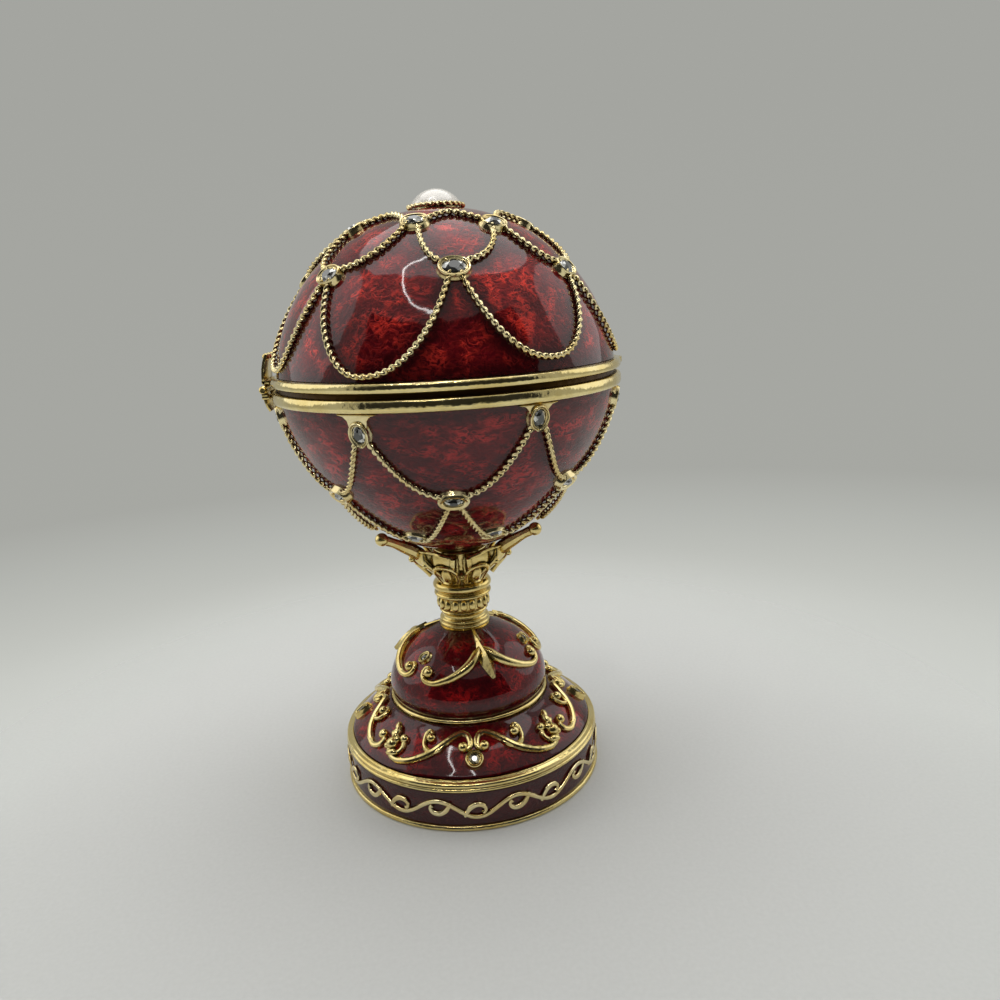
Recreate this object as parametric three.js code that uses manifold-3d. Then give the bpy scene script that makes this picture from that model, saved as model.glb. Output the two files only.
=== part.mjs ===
// Enamel egg box on a stand: a hinged egg of gold-plated castings under red enamel, wrapped in rope
// trellises with set stones, on a three-armed calyx, a ringed stem and a domed round foot.
// Millimetres, +Z up. The origin is the centre of the foot's underside. The front faces -Y and the
// hinge is at -X. An azimuth is in degrees from the front, positive towards +X.
import * as THREE from "three";
import { mergeVertices, toCreasedNormals } from "three/addons/utils/BufferGeometryUtils.js";
import Module from "manifold-3d";

const wasm = await Module();
wasm.setup();

// Foot casting, from the table upwards
const FOOT_RADIUS = 25.0;
const FOOT_RING_HEIGHT = 1.8;
const FOOT_BAND_HEIGHT = 5.6;
const FOOT_BAND_RECESS = 1.2;
const EDGE_RING_HEIGHT = 1.9;
const EDGE_RING_STEP = 0.3;
const EDGE_RING_FACE = 1.3;
const FLANGE_RISE = 6.2;
const FLANGE_CROWN = 0.5;
const WAIST_RADIUS = 14.9;
const WAIST_BEAD = 0.45;
const FOOT_WALL = 1.5;
const FOOT_ROOF = 2.6;

// Bun dome of the foot, a superellipse on a short upright skirt
const BUN_RADIUS = 15.3;
const BUN_RISE = 11.9;
const BUN_SKIRT = 2.0;
const BUN_TUCK = 0.5;
const BUN_POWERS = { depth: 2.0, radius: 1.6 };
const BUN_TOP_RADIUS = 4.9;

// Stem
const COLLAR_RADIUS = 4.85;
const COLLAR_HEIGHT = 3.55;
const COLLAR_OUTLINE = [[0, 0.5], [0.17, 0], [0.33, 0], [0.57, 0.6], [0.7, 0.15], [0.83, 0.15]];
const RIBBED_RADIUS = 5.15;
const RIB_DEPTH = 0.4;
const RIB_COUNT = 18;
const RIBBED_HEIGHT = 2.6;
const UPPER_RING_RADIUS = 5.6;
const UPPER_RING_HEIGHT = 3.9;
const UPPER_RING_OUTLINE = [[0.06, 0.15], [0.19, 0.15], [0.28, 0.6], [0.41, 0.1], [0.59, 0], [0.79, 0.35]];
const NECK_RADIUS = 4.4;
const STACK_GAP = 0.05;

// Calyx: three leaves flare from the neck, parted by gaps that pinch between the volutes. Leaf points
// and gap points are [radius or half width, rise above the calyx's base].
const CALYX_SEAT_HEIGHT = 4.55;
const CALYX_CORE_RADIUS = 5.6;
const CALYX_CORE_SHARE = 0.72;
const CALYX_RIM_RADIUS = 9.3;
const CALYX_BELLY = 6.1;
const CALYX_CLEARANCE = 0.15;
const LEAF_THICKNESS = 0.9;
const LEAF_OUTLINE = [[4.8, 0.1], [5.3, 2.4], [6.1, 4.1], [7.6, 6.0]];
const GAP_OUTLINE = [[1.4, 0.9], [0.5, 5.3], [1.8, 8.6]];
const ARM_COUNT = 3;
const ARM_AZIMUTH = 60;
const ARM_REACH = 17.2;
const ARM_RISE = 5.65;
const ARM_RADIUS = 0.7;
const ARM_BALL_RADIUS = 1.05;
const LOBE_TURN = 41;
const LOBE_RADIUS = 1.4;
const LOBE_FOOT = 1.3;
const LOBE_RISE = 3.9;
const LOBE_TUBE = 0.5;

// Screw that draws foot, stem, calyx and bowl together
const SCREW_RADIUS = 1.5;
const SCREW_HEAD_RADIUS = 3.0;
const SCREW_HEAD_HEIGHT = 1.6;
const SCREW_CLEARANCE = 0.3;
const THREAD_CLEARANCE = 0.12;
const WASHER_RADIUS = 3.6;
const WASHER_THICKNESS = 0.6;
const BOSS_RADIUS = 4.4;
const BOSS_DROP = 0.9;
const BOSS_HOLE_DEPTH = 2.3;
const SCREW_END_GAP = 0.3;

// Egg: both halves are superellipses of revolution
const EGG_RADIUS = 29.9;
const BOWL_DEPTH = 31.3;
const BOWL_POWERS = { depth: 1.7, radius: 1.8 };
const LID_HEIGHT = 28.2;
const LID_POWERS = { depth: 1.8, radius: 2.1 };
const ENAMEL_THICKNESS = 0.7;
const SKIN_GAP = 0.14;
const SHELL_WALL = 1.4;

// Rims and seam
const RIM_PROUD = 1.1;
const RIM_RADIUS = EGG_RADIUS + RIM_PROUD;
const RIM_HEIGHT = 1.6;
const RIM_BEVEL = 0.35;
const SEAM_GROOVE = 1.3;
const SEAM_SHOULDER = 0.9;
const SEAM_GAP = 0.12;
const RIM_SEAT_GAP = 0.05;
const COLLAR_RISE = 2.4;
const COLLAR_WALL = 0.8;
const COLLAR_CLEARANCE = 0.25;
const THUMB_LIP_WIDTH = 6.0;
const THUMB_LIP_REACH = 0.9;

// Hinge at -X, its pin along Y
const HINGE_OFFSET = 1.05;
const KNUCKLE_RADIUS = 0.98;
const PIN_RADIUS = 0.5;
const PIN_CLEARANCE = 0.05;
const HINGE_WIDTH = 9.0;
const CENTRE_KNUCKLE_WIDTH = 3.0;
const KNUCKLE_GAP = 0.12;
const PIN_HEAD_RADIUS = 0.75;
const PIN_HEAD_HEIGHT = 0.35;
const TAB_WIDTH = 7.0;
const TAB_HEIGHT = 7.5;
const TAB_THICKNESS = 0.7;
const LEAF_SEAT_GAP = 0.1;
const PAD_CHAMFER = 0.3;

// Rope trellises and set stones
const SWAG_COUNT = 7;
const ROPE_RADIUS = 0.42;
const ROPE_LIFT = 0.6;
const SWAG_POWER = 2.3;
const BEZEL_WALL = 0.5;
const BEZEL_HEIGHT = 0.85;
const BEZEL_FLOOR = 0.25;
const BEZEL_LIFT = 0.12;
const STONE_CLEARANCE = 0.08;
const STONE_PROUD = 0.2;
const LID_TURN = 5;
const BOWL_TURN = -1;
// A ring lies at a height from the seam's plane, or at a drop from the dome's own end
const STONE_RINGS = {
  lidTop: { drop: 3.6, halfWidth: 2.1, halfHeight: 1.75, shift: 0.5 },
  lidMiddle: { height: 17.3, halfWidth: 2.4, halfHeight: 1.9, shift: 0 },
  bowlUpper: { height: 3.9, halfWidth: 1.75, halfHeight: 2.1, shift: 0.5 },
  bowlMiddle: { height: 16.3, halfWidth: 2.6, halfHeight: 1.75, shift: 0 },
  bowlLower: { drop: 5.7, halfWidth: 1.9, halfHeight: 1.3, shift: 0.5 },
};
const LID_SWAG_FOOT = 3.3;
const CROWN_ROPE_RISE = 0.6;
const SWAG_END_TURN = 2.2;
const BRIDGE_WIDTH = 2.4;

// Pearl and its cup
const PEARL_RADIUS = 4.9;
const PEARL_HEIGHT = 2.75;
const CUP_WALL = 0.5;
const CUP_RIM_HEIGHT = 0.4;
const CUP_PLATE = 0.3;
const CUP_STEM_RADIUS = 3.6;
const CUP_LIFT = 0.1;

// Raised ornament of the foot
const VINE_COUNT = 11;
const VINE_WIDTH = 0.6;
const VINE_SWING = 1.5;
const VINE_THICKNESS = 0.4;
const VINE_LIFT = 0.15;
const SCROLL_RADIUS = 0.5;
const SCROLL_BALL_RADIUS = 0.8;
const SCROLL_STEPS = 7;
const TWIG_STEP = 4;
const ORNAMENT_LIFT = 0.18;
const FLANGE_STONE_RADIUS = 1.6;
const FLANGE_STONE_MIDDLE = 3.8;
const FLANGE_DROP_MIDDLE = 3.6;
const FLANGE_KNOT_RADIUS = 1.2;
const FLANGE_KNOT_OVERLAP = 1.0;
const LEAF_COUNT = 3;
const LEAF_AZIMUTH = 16;
const LEAF_LENGTH = 8.0;
const LEAF_MIDDLE = 8.5;
const LEAF_HALF_WIDTH = 1.5;
const DROP_MIDDLE = 7.5;
const DROP_HALF_WIDTH = 1.0;
const DROP_HALF_HEIGHT = 1.35;
const FLANGE_DROP_HALF_HEIGHT = 2.0;

// Facets
const ROUND_SEGMENTS = 32;
const STEM_SEGMENTS = 20;
const SMALL_SEGMENTS = 12;
const BEZEL_SEGMENTS = 8;
const ROPE_SIDES = 4;
const DOME_STEPS = 6;
const DOME_BED_STEPS = 4;
const FLANGE_STOPS = 24;

// Heights that follow from the sizes above
const bandTop = FOOT_RING_HEIGHT + FOOT_BAND_HEIGHT;
const edgeTop = bandTop + EDGE_RING_HEIGHT;
const waistZ = edgeTop + FLANGE_RISE;
const skirtZ = waistZ + WAIST_BEAD;
const bunEquator = skirtZ + BUN_SKIRT;
const bunShape = { radius: BUN_RADIUS, rise: BUN_RISE, powers: BUN_POWERS };
const bunTop = bunEquator + depthAtRadius(bunShape, BUN_TOP_RADIUS);
const ribbedBase = bunTop + COLLAR_HEIGHT;
const upperRingBase = ribbedBase + RIBBED_HEIGHT;
const calyxBase = upperRingBase + UPPER_RING_HEIGHT;
const calyxSeat = calyxBase + CALYX_SEAT_HEIGHT;
const bossBottom = calyxSeat + STACK_GAP;
const bowlPlane = bossBottom + BOSS_DROP + BOWL_DEPTH;
const lidPlane = bowlPlane + SEAM_GROOVE;
const bowlRimBottom = bowlPlane - RIM_HEIGHT;
const lidRimTop = lidPlane + RIM_HEIGHT;
const shoulderTop = lidPlane - SEAM_GAP;
const hingeZ = (bowlPlane + lidPlane) / 2;
const hingeX = -(RIM_RADIUS + HINGE_OFFSET);

// The domes: name of the plane they spring from, which way they go, and their superellipse
const BUN = { plane: bunEquator, way: 1, ...bunShape };
const LID = { plane: lidPlane, way: 1, radius: EGG_RADIUS, rise: LID_HEIGHT, powers: LID_POWERS };
const BOWL = { plane: bowlPlane, way: -1, radius: EGG_RADIUS, rise: BOWL_DEPTH, powers: BOWL_POWERS };

// Superellipse of a dome: its radius at a depth, the depth at a radius, and both set in by a wall
function radiusAtDepth(dome, depth, inset = 0) {
  const share = Math.min(1, Math.max(0, depth / (dome.rise - inset)));
  return (dome.radius - inset) * (1 - share ** dome.powers.depth) ** (1 / dome.powers.radius);
}

function depthAtRadius(dome, radius, inset = 0) {
  const share = Math.min(1, Math.max(0, radius / (dome.radius - inset)));
  return (dome.rise - inset) * (1 - share ** dome.powers.radius) ** (1 / dome.powers.depth);
}

// Points (radius, z) along a dome, from the depth nearer its plane to the smaller radius
function domeProfile(dome, fromDepth, toRadius, inset, steps) {
  const toDepth = depthAtRadius(dome, toRadius, inset);
  const start = Math.asin(fromDepth / (dome.rise - inset));
  const end = Math.asin(Math.min(1, toDepth / (dome.rise - inset)));
  const points = [];
  for (let i = 0; i <= steps; i++) {
    const depth = (dome.rise - inset) * Math.sin(start + ((end - start) * i) / steps);
    const radius = i === steps ? toRadius : radiusAtDepth(dome, depth, inset);
    points.push([radius, dome.plane + dome.way * depth]);
  }
  return points;
}

// The flange is one shallow arc from the edge ring to the waist
function flangePoint(share, inset = 0) {
  const r0 = FOOT_RADIUS - EDGE_RING_FACE - EDGE_RING_STEP;
  const r1 = WAIST_RADIUS + WAIST_BEAD;
  const run = new THREE.Vector2(r1 - r0, FLANGE_RISE - WAIST_BEAD);
  const out = new THREE.Vector2(run.y, -run.x).normalize();
  const crown = 4 * FLANGE_CROWN * share * (1 - share) - inset;
  return [r0 + run.x * share + out.x * crown, edgeTop + run.y * share + out.y * crown];
}

function flangeRadiusAt(z) {
  const stops = Array.from({ length: FLANGE_STOPS + 1 }, (_, i) => flangePoint(i / FLANGE_STOPS));
  const next = Math.max(1, stops.findIndex((stop) => stop[1] > z));
  const [[r0, z0], [r1, z1]] = [stops[next - 1], stops[next]];
  return THREE.MathUtils.mapLinear(z, z0, z1, r0, r1);
}

// Surfaces that carry ornament: radius as a function of height
const SURFACES = {
  bun: (z) => radiusAtDepth(BUN, z - BUN.plane),
  lid: (z) => radiusAtDepth(LID, z - LID.plane),
  bowl: (z) => radiusAtDepth(BOWL, BOWL.plane - z),
  flange: flangeRadiusAt,
  band: () => FOOT_RADIUS - FOOT_BAND_RECESS + ENAMEL_THICKNESS,
};

function polar(radius, azimuth, z) {
  const a = THREE.MathUtils.degToRad(azimuth);
  return new THREE.Vector3(radius * Math.sin(a), -radius * Math.cos(a), z);
}

// Point on a surface, lifted along its normal, with the directions round, up the slope and outwards
function frameOn(surface, azimuth, z, lift = 0) {
  const step = 0.05;
  const slope = (SURFACES[surface](z + step) - SURFACES[surface](z - step)) / (2 * step);
  const a = THREE.MathUtils.degToRad(azimuth);
  const round = new THREE.Vector3(Math.cos(a), Math.sin(a), 0);
  const up = polar(slope, azimuth, 1).normalize();
  const out = new THREE.Vector3().crossVectors(round, up).normalize();
  const point = polar(SURFACES[surface](z), azimuth, z).addScaledVector(out, lift);
  return { point, round, up, out };
}

function place(geometry, frame) {
  const matrix = new THREE.Matrix4().makeBasis(frame.round, frame.up, frame.out).setPosition(frame.point);
  return geometry.applyMatrix4(matrix);
}

// A closed geometry as a manifold solid, and a solid back as a geometry
function solid(geometry) {
  const bare = new THREE.BufferGeometry();
  const unshared = geometry.index ? geometry.toNonIndexed() : geometry;
  bare.setAttribute("position", unshared.getAttribute("position"));
  const merged = mergeVertices(bare, 1e-4);
  const mesh = new wasm.Mesh({
    numProp: 3,
    vertProperties: new Float32Array(merged.attributes.position.array),
    triVerts: new Uint32Array(merged.index.array),
  });
  mesh.merge();
  return new wasm.Manifold(mesh);
}

function join(geometries) {
  return geometries.map(solid).reduce((whole, next) => whole.add(next));
}

function geometryOf(manifold) {
  const mesh = manifold.getMesh();
  const geometry = new THREE.BufferGeometry();
  const positions = new Float32Array(mesh.numVert * 3);
  for (let i = 0; i < mesh.numVert; i++) {
    positions.set(mesh.vertProperties.subarray(i * mesh.numProp, i * mesh.numProp + 3), i * 3);
  }
  geometry.setAttribute("position", new THREE.BufferAttribute(positions, 3));
  geometry.setIndex(new THREE.BufferAttribute(new Uint32Array(mesh.triVerts), 1));
  return toCreasedNormals(geometry, 0.7);
}

// Basic forms
// A turned piece: its outline runs clockwise with the axis on the left, and it closes itself
function turned(outline, segments = ROUND_SEGMENTS) {
  const points = outline.map(([r, z]) => new THREE.Vector2(Math.max(0, r), z));
  const onAxis = points[0].x === 0 && points[points.length - 1].x === 0;
  if (!onAxis) points.push(points[0].clone());
  const area = points.reduce((sum, p, i) => {
    const q = points[(i + 1) % points.length];
    return sum + p.x * q.y - q.x * p.y;
  }, 0);
  if (area < 0) points.reverse();
  return new THREE.LatheGeometry(points, segments).rotateX(Math.PI / 2);
}

function pathThrough(points) {
  return new THREE.CatmullRomCurve3(points, false, "centripetal");
}

function tube(points, radius, steps) {
  const section = new THREE.Shape();
  for (let i = 0; i < ROPE_SIDES; i++) {
    const a = (2 * Math.PI * i) / ROPE_SIDES;
    section[i ? "lineTo" : "moveTo"](radius * Math.cos(a), radius * Math.sin(a));
  }
  const extrudePath = pathThrough(points);
  return new THREE.ExtrudeGeometry(section, { steps, bevelEnabled: false, extrudePath });
}

function ball(centre, radius, detail = 1) {
  return new THREE.IcosahedronGeometry(radius, detail).translate(centre.x, centre.y, centre.z);
}

// Extrudes an outline drawn in X and Z along Y, centred on the hinge's middle
function plateAlongY(shape, width, centreY = 0) {
  const geometry = new THREE.ExtrudeGeometry(shape, { depth: width, bevelEnabled: false, curveSegments: 6 });
  return geometry.rotateX(Math.PI / 2).translate(0, centreY + width / 2, 0);
}

// Finishes
const FINISHES = {
  gold: { color: 0xd9b45a, roughness: 0.22, metalness: 1.0 },
  plating: { color: 0xc9a24c, roughness: 0.35, metalness: 1.0 },
  enamel: { color: 0x7a0d14, roughness: 0.12, metalness: 0.2 },
  stone: { color: 0xe8eef0, roughness: 0.02, metalness: 0.0 },
  pearl: { color: 0xf2ede2, roughness: 0.18, metalness: 0.0 },
  steel: { color: 0x9a9c9e, roughness: 0.35, metalness: 1.0 },
};

const model = new THREE.Group();

function addPiece(name, geometry, finish) {
  const mesh = new THREE.Mesh(geometry, new THREE.MeshStandardMaterial(FINISHES[finish]));
  mesh.name = name;
  model.add(mesh);
}

function addJoined(name, geometries, finish) {
  addPiece(name, geometryOf(join(geometries)), finish);
}

function addSolid(name, manifold, finish) {
  addPiece(name, geometryOf(manifold), finish);
}

// Foot
function footCasting() {
  const inner = FOOT_RADIUS - FOOT_BAND_RECESS - FOOT_WALL;
  const face = FOOT_RADIUS - EDGE_RING_FACE;
  const bed = ENAMEL_THICKNESS + SKIN_GAP;
  const bore = SCREW_RADIUS + SCREW_CLEARANCE;
  const groove = (bandTop + edgeTop) / 2;
  const bunBed = domeProfile(BUN, 0, BUN_TOP_RADIUS, bed, DOME_BED_STEPS);
  const roof = bunTop - FOOT_ROOF;
  return turned([
    [inner, 0],
    [FOOT_RADIUS, 0],
    [FOOT_RADIUS, FOOT_RING_HEIGHT],
    [FOOT_RADIUS - FOOT_BAND_RECESS, FOOT_RING_HEIGHT],
    [FOOT_RADIUS - FOOT_BAND_RECESS, bandTop],
    [FOOT_RADIUS - EDGE_RING_STEP / 2, bandTop],
    [FOOT_RADIUS - EDGE_RING_STEP, groove],
    [face, edgeTop],
    [flangePoint(0, bed)[0], edgeTop],
    flangePoint(0.03, bed),
    flangePoint(0.5, bed),
    flangePoint(1, bed),
    flangePoint(1),
    [WAIST_RADIUS + WAIST_BEAD, waistZ],
    [WAIST_RADIUS, skirtZ],
    [BUN_RADIUS - BUN_TUCK - bed, skirtZ],
    ...bunBed,
    [BUN_TOP_RADIUS - SKIN_GAP, bunTop],
    [bore, bunTop],
    [bore, roof],
    [BUN_TOP_RADIUS, roof],
    [BUN_RADIUS - bed - FOOT_WALL - BUN_TUCK, bunEquator],
    [BUN_RADIUS - bed - FOOT_WALL - BUN_TUCK, waistZ - FOOT_WALL],
    flangePoint(0.45, bed + FOOT_WALL),
    [inner, bandTop - FOOT_WALL / 2],
  ]);
}

function footBandEnamel() {
  const bed = FOOT_RADIUS - FOOT_BAND_RECESS + SKIN_GAP;
  const face = SURFACES.band();
  return turned([
    [bed, FOOT_RING_HEIGHT + SKIN_GAP],
    [face, FOOT_RING_HEIGHT + SKIN_GAP],
    [face, bandTop - SKIN_GAP],
    [bed, bandTop - SKIN_GAP],
  ]);
}

function flangeEnamel() {
  const outer = [0.03, 0.35, 0.68, 0.97].map((share) => flangePoint(share));
  const inner = [0.97, 0.5, 0.06].map((share) => flangePoint(share, ENAMEL_THICKNESS));
  return turned([...outer, ...inner]);
}

function bunEnamel() {
  const outer = domeProfile(BUN, 0, BUN_TOP_RADIUS, 0, DOME_STEPS - 1);
  const inner = domeProfile(BUN, 0, BUN_TOP_RADIUS, ENAMEL_THICKNESS, DOME_BED_STEPS).reverse();
  const foot = skirtZ + SKIN_GAP;
  return turned([
    [BUN_RADIUS - BUN_TUCK, foot],
    ...outer,
    ...inner,
    [BUN_RADIUS - BUN_TUCK - ENAMEL_THICKNESS, foot],
  ]);
}

// Running vine: a waving ribbon with a hooked curl over each trough and another under each crest. It is
// drawn as a flat ring, whose rim and hole are the ribbon's two edges, and wrapped round the band.
const HOOK = [
  [-1.3, 0], [-1.1, 1.2], [-0.3, 2.2], [0.8, 2.2], [1.3, 1.2], [0.7, 0.7], [0.4, 1.3], [-0.3, 1.2], [-0.5, 0],
];
const STEM_SHARES = [0.14, 0.32, 0.5, 0.68, 0.86];
const FLAT_RADIUS = 20;

function vineEdge(side) {
  const round = 2 * Math.PI * SURFACES.band();
  const pitch = round / VINE_COUNT;
  const halfWidth = VINE_WIDTH / 2;
  const points = [];
  for (let i = 0; i < VINE_COUNT; i++) {
    const bend = (i + (side > 0 ? 0.5 : 0)) * pitch;
    const hook = HOOK.map(([along, out]) => [bend + side * along, side * (out + halfWidth - VINE_SWING)]);
    points.push(...(side > 0 ? hook : hook.reverse()));
    for (const share of STEM_SHARES) {
      points.push([bend + share * pitch, side * (halfWidth - VINE_SWING * Math.cos(2 * Math.PI * share))]);
    }
  }
  return points.map(([along, rise]) => {
    const turn = (2 * Math.PI * along) / round;
    return new THREE.Vector2(Math.cos(turn), Math.sin(turn)).multiplyScalar(FLAT_RADIUS + rise);
  });
}

function footVine() {
  const ribbon = new THREE.Shape(vineEdge(1));
  ribbon.holes.push(new THREE.Path(vineEdge(-1)));
  const geometry = new THREE.ExtrudeGeometry(ribbon, { depth: VINE_THICKNESS, bevelEnabled: false });
  const middle = FOOT_RING_HEIGHT + FOOT_BAND_HEIGHT / 2;
  const back = SURFACES.band() + VINE_LIFT;
  const position = geometry.getAttribute("position");
  for (let i = 0; i < position.count; i++) {
    const flat = new THREE.Vector2(position.getX(i), position.getY(i));
    const azimuth = -THREE.MathUtils.radToDeg(flat.angle());
    const onBand = polar(back + position.getZ(i), azimuth, middle + flat.length() - FLAT_RADIUS);
    position.setXYZ(i, onBand.x, onBand.y, onBand.z);
  }
  geometry.computeVertexNormals();
  return geometry;
}

// Set stones: the blank of a bezel, the pocket cut into it, and the faceted stone
function bezelBlank(frame, halfWidth, halfHeight, segments = BEZEL_SEGMENTS) {
  const blank = turned([[0, 0], [1, 0], [1, BEZEL_HEIGHT], [0, BEZEL_HEIGHT]], segments);
  return place(blank.scale(halfWidth, halfHeight, 1), frame);
}

function bezelPocket(frame, halfWidth, halfHeight, segments = BEZEL_SEGMENTS) {
  const top = 2 * BEZEL_HEIGHT;
  const pocket = turned([[0, BEZEL_FLOOR], [1, BEZEL_FLOOR], [1, top], [0, top]], segments);
  return place(pocket.scale(halfWidth - BEZEL_WALL, halfHeight - BEZEL_WALL, 1), frame);
}

function facetedStone(frame, halfWidth, halfHeight, segments = BEZEL_SEGMENTS) {
  const rim = BEZEL_WALL + STONE_CLEARANCE;
  const bottom = BEZEL_FLOOR + STACK_GAP;
  const top = BEZEL_HEIGHT + STONE_PROUD;
  const stone = turned(
    [
      [0, bottom],
      [1, bottom],
      [0.55, top],
      [0, top],
    ],
    segments,
  );
  return place(stone.scale(halfWidth - rim, halfHeight - rim, 1), frame);
}

// Stone set solid in its cup, for the smallest settings
function solidSetting(frame, halfWidth, halfHeight, segments = BEZEL_SEGMENTS) {
  const inner = 1 - BEZEL_WALL / Math.min(halfWidth, halfHeight);
  const setting = turned(
    [
      [0, 0],
      [1, 0],
      [1, BEZEL_HEIGHT],
      [inner, BEZEL_HEIGHT],
      [inner * 0.5, BEZEL_HEIGHT + STONE_PROUD],
      [0, BEZEL_HEIGHT + STONE_PROUD],
    ],
    segments,
  );
  return place(setting.scale(halfWidth, halfHeight, 1), frame);
}

// A place on the flange: millimetres to the right of the motif's middle and up the slope
function onFlange(azimuth, across, up, lift) {
  const [foot, head] = [flangePoint(0), flangePoint(1)];
  const rise = (up * (head[1] - foot[1])) / Math.hypot(head[0] - foot[0], head[1] - foot[1]);
  const turn = THREE.MathUtils.radToDeg(across / flangePoint(0.5)[0]);
  return frameOn("flange", azimuth + turn, edgeTop + rise, lift);
}

// A place on the bun: degrees to the right of the motif's middle and millimetres above the widest line
function onBun(azimuth, turn, rise, lift) {
  return frameOn("bun", azimuth + turn, bunEquator + rise, lift);
}

function scrollPoint(place, [across, up], mirror, azimuth) {
  return place(azimuth, mirror * across, up, ORNAMENT_LIFT + SCROLL_RADIUS).point;
}

function scrollPoints(place, route, mirror, azimuth) {
  return route.map((stop) => scrollPoint(place, stop, mirror, azimuth));
}

function scroll(place, route, mirror, azimuth, steps = SCROLL_STEPS) {
  return tube(scrollPoints(place, route, mirror, azimuth), SCROLL_RADIUS, steps);
}

// A twig grows out of one of the corners of its scroll and ends in a ball or a point
function twig(place, route, twigRoute, mirror, azimuth) {
  const root = pathThrough(scrollPoints(place, route, mirror, azimuth)).getPointAt(TWIG_STEP / SCROLL_STEPS);
  return tube([root, ...scrollPoints(place, twigRoute, mirror, azimuth)], SCROLL_RADIUS, 3);
}

function scrollEnd(place, route, mirror, azimuth) {
  return ball(scrollPoint(place, route[route.length - 1], mirror, azimuth), SCROLL_BALL_RADIUS, 0);
}

// Flange: the routes of the right-hand side
const LONG_SCROLL = [
  [0.62, 4.65], [1.37, 6.88], [2.75, 8.09], [4.81, 7.91],
  [7.55, 6.19], [10.3, 3.96], [13.04, 2.75], [15.1, 3.44],
];
const LONG_SCROLL_TWIG = [[8.24, 6.71], [9.27, 8.09], [10.64, 7.57]];
const SIDE_SCROLL = [
  [-0.3, 6.0], [-2.06, 8.09], [-4.12, 6.88], [-6.18, 4.99],
  [-8.58, 3.27], [-10.64, 2.58], [-12.01, 3.1], [-12.36, 4.47],
];
const SIDE_SCROLL_TWIG = [[-8.58, 6.02], [-7.89, 7.74], [-6.86, 7.05]];
const LEAF_LOBES = [{ across: 15.3, up: 4.5, radius: 1.1 }, { across: 14.7, up: 5.8, radius: 1.0 }];

function flangeFrontMotif(azimuth) {
  const stoneFrame = onFlange(azimuth, 0, FLANGE_STONE_MIDDLE, ORNAMENT_LIFT);
  const pieces = [solidSetting(stoneFrame, FLANGE_STONE_RADIUS, FLANGE_STONE_RADIUS)];
  for (const mirror of [1, -1]) {
    pieces.push(scroll(onFlange, LONG_SCROLL, mirror, azimuth));
    pieces.push(twig(onFlange, LONG_SCROLL, LONG_SCROLL_TWIG, mirror, azimuth));
    pieces.push(scrollEnd(onFlange, LONG_SCROLL_TWIG, mirror, azimuth));
    for (const { across, up, radius } of LEAF_LOBES) {
      const frame = onFlange(azimuth, mirror * across, up, ORNAMENT_LIFT + radius * 0.8);
      pieces.push(ball(frame.point, radius, 0));
    }
  }
  return pieces;
}

function flangeSideMotif(azimuth) {
  const dropFrame = onFlange(azimuth, 0, FLANGE_DROP_MIDDLE, ORNAMENT_LIFT);
  const dropTip = FLANGE_DROP_MIDDLE + FLANGE_DROP_HALF_HEIGHT;
  const knotMiddle = dropTip + FLANGE_KNOT_RADIUS - FLANGE_KNOT_OVERLAP;
  const knotFrame = onFlange(azimuth, 0, knotMiddle, ORNAMENT_LIFT + FLANGE_KNOT_RADIUS * 0.8);
  const pieces = [solidSetting(dropFrame, DROP_HALF_WIDTH, FLANGE_DROP_HALF_HEIGHT)];
  pieces.push(ball(knotFrame.point, FLANGE_KNOT_RADIUS, 0));
  for (const mirror of [1, -1]) {
    pieces.push(scroll(onFlange, SIDE_SCROLL, mirror, azimuth));
    pieces.push(scrollEnd(onFlange, SIDE_SCROLL, mirror, azimuth));
    pieces.push(twig(onFlange, SIDE_SCROLL, SIDE_SCROLL_TWIG, mirror, azimuth));
  }
  return pieces;
}

// Bun: a pointed leaf hangs from the stem, a scroll runs from it to either side, and a drop-shaped
// setting stands on the right-hand scroll, midway to the next leaf
const LEAF_SCROLL = [[1.5, 9.6], [8, 8.3], [24, 6.2], [40, 4.8], [51, 4.4], [55.5, 5.0], [53, 5.9]];
const DROP_STALK = [[55, 5.2], [58.5, 5.9], [60, 6.8]];

function leafBlade(frame) {
  const half = LEAF_LENGTH / 2;
  const outline = new THREE.Shape();
  outline.moveTo(0.3, half);
  outline.quadraticCurveTo(-LEAF_HALF_WIDTH * 1.6, half * 0.2, 0, -half);
  outline.quadraticCurveTo(LEAF_HALF_WIDTH * 1.6, half * 0.2, 0.3, half);
  const bevel = { bevelThickness: 0.35, bevelSize: 0.35, bevelOffset: -0.35, bevelSegments: 1 };
  const blade = new THREE.ExtrudeGeometry(outline, { depth: 0.4, curveSegments: 3, ...bevel });
  return place(blade.translate(0, 0, bevel.bevelThickness), frame);
}

function bunLeafMotif(azimuth) {
  const pieces = [leafBlade(onBun(azimuth, 0, LEAF_MIDDLE, ORNAMENT_LIFT))];
  for (const mirror of [1, -1]) {
    pieces.push(scroll(onBun, LEAF_SCROLL, mirror, azimuth));
    pieces.push(scrollEnd(onBun, LEAF_SCROLL, mirror, azimuth));
  }
  pieces.push(scroll(onBun, DROP_STALK, 1, azimuth, 2));
  const dropFrame = onBun(azimuth, 180 / LEAF_COUNT, DROP_MIDDLE, ORNAMENT_LIFT);
  pieces.push(solidSetting(dropFrame, DROP_HALF_WIDTH, DROP_HALF_HEIGHT));
  return pieces;
}

// Stem
function bored(outline, segments = STEM_SEGMENTS) {
  const bore = SCREW_RADIUS + SCREW_CLEARANCE;
  const first = outline[0];
  const last = outline[outline.length - 1];
  return turned([[bore, first[1]], ...outline, [bore, last[1]]], segments);
}

function ringOutline(outline, radius, base, height) {
  return outline.map(([share, inset]) => [radius - inset, base + share * height]);
}

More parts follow.
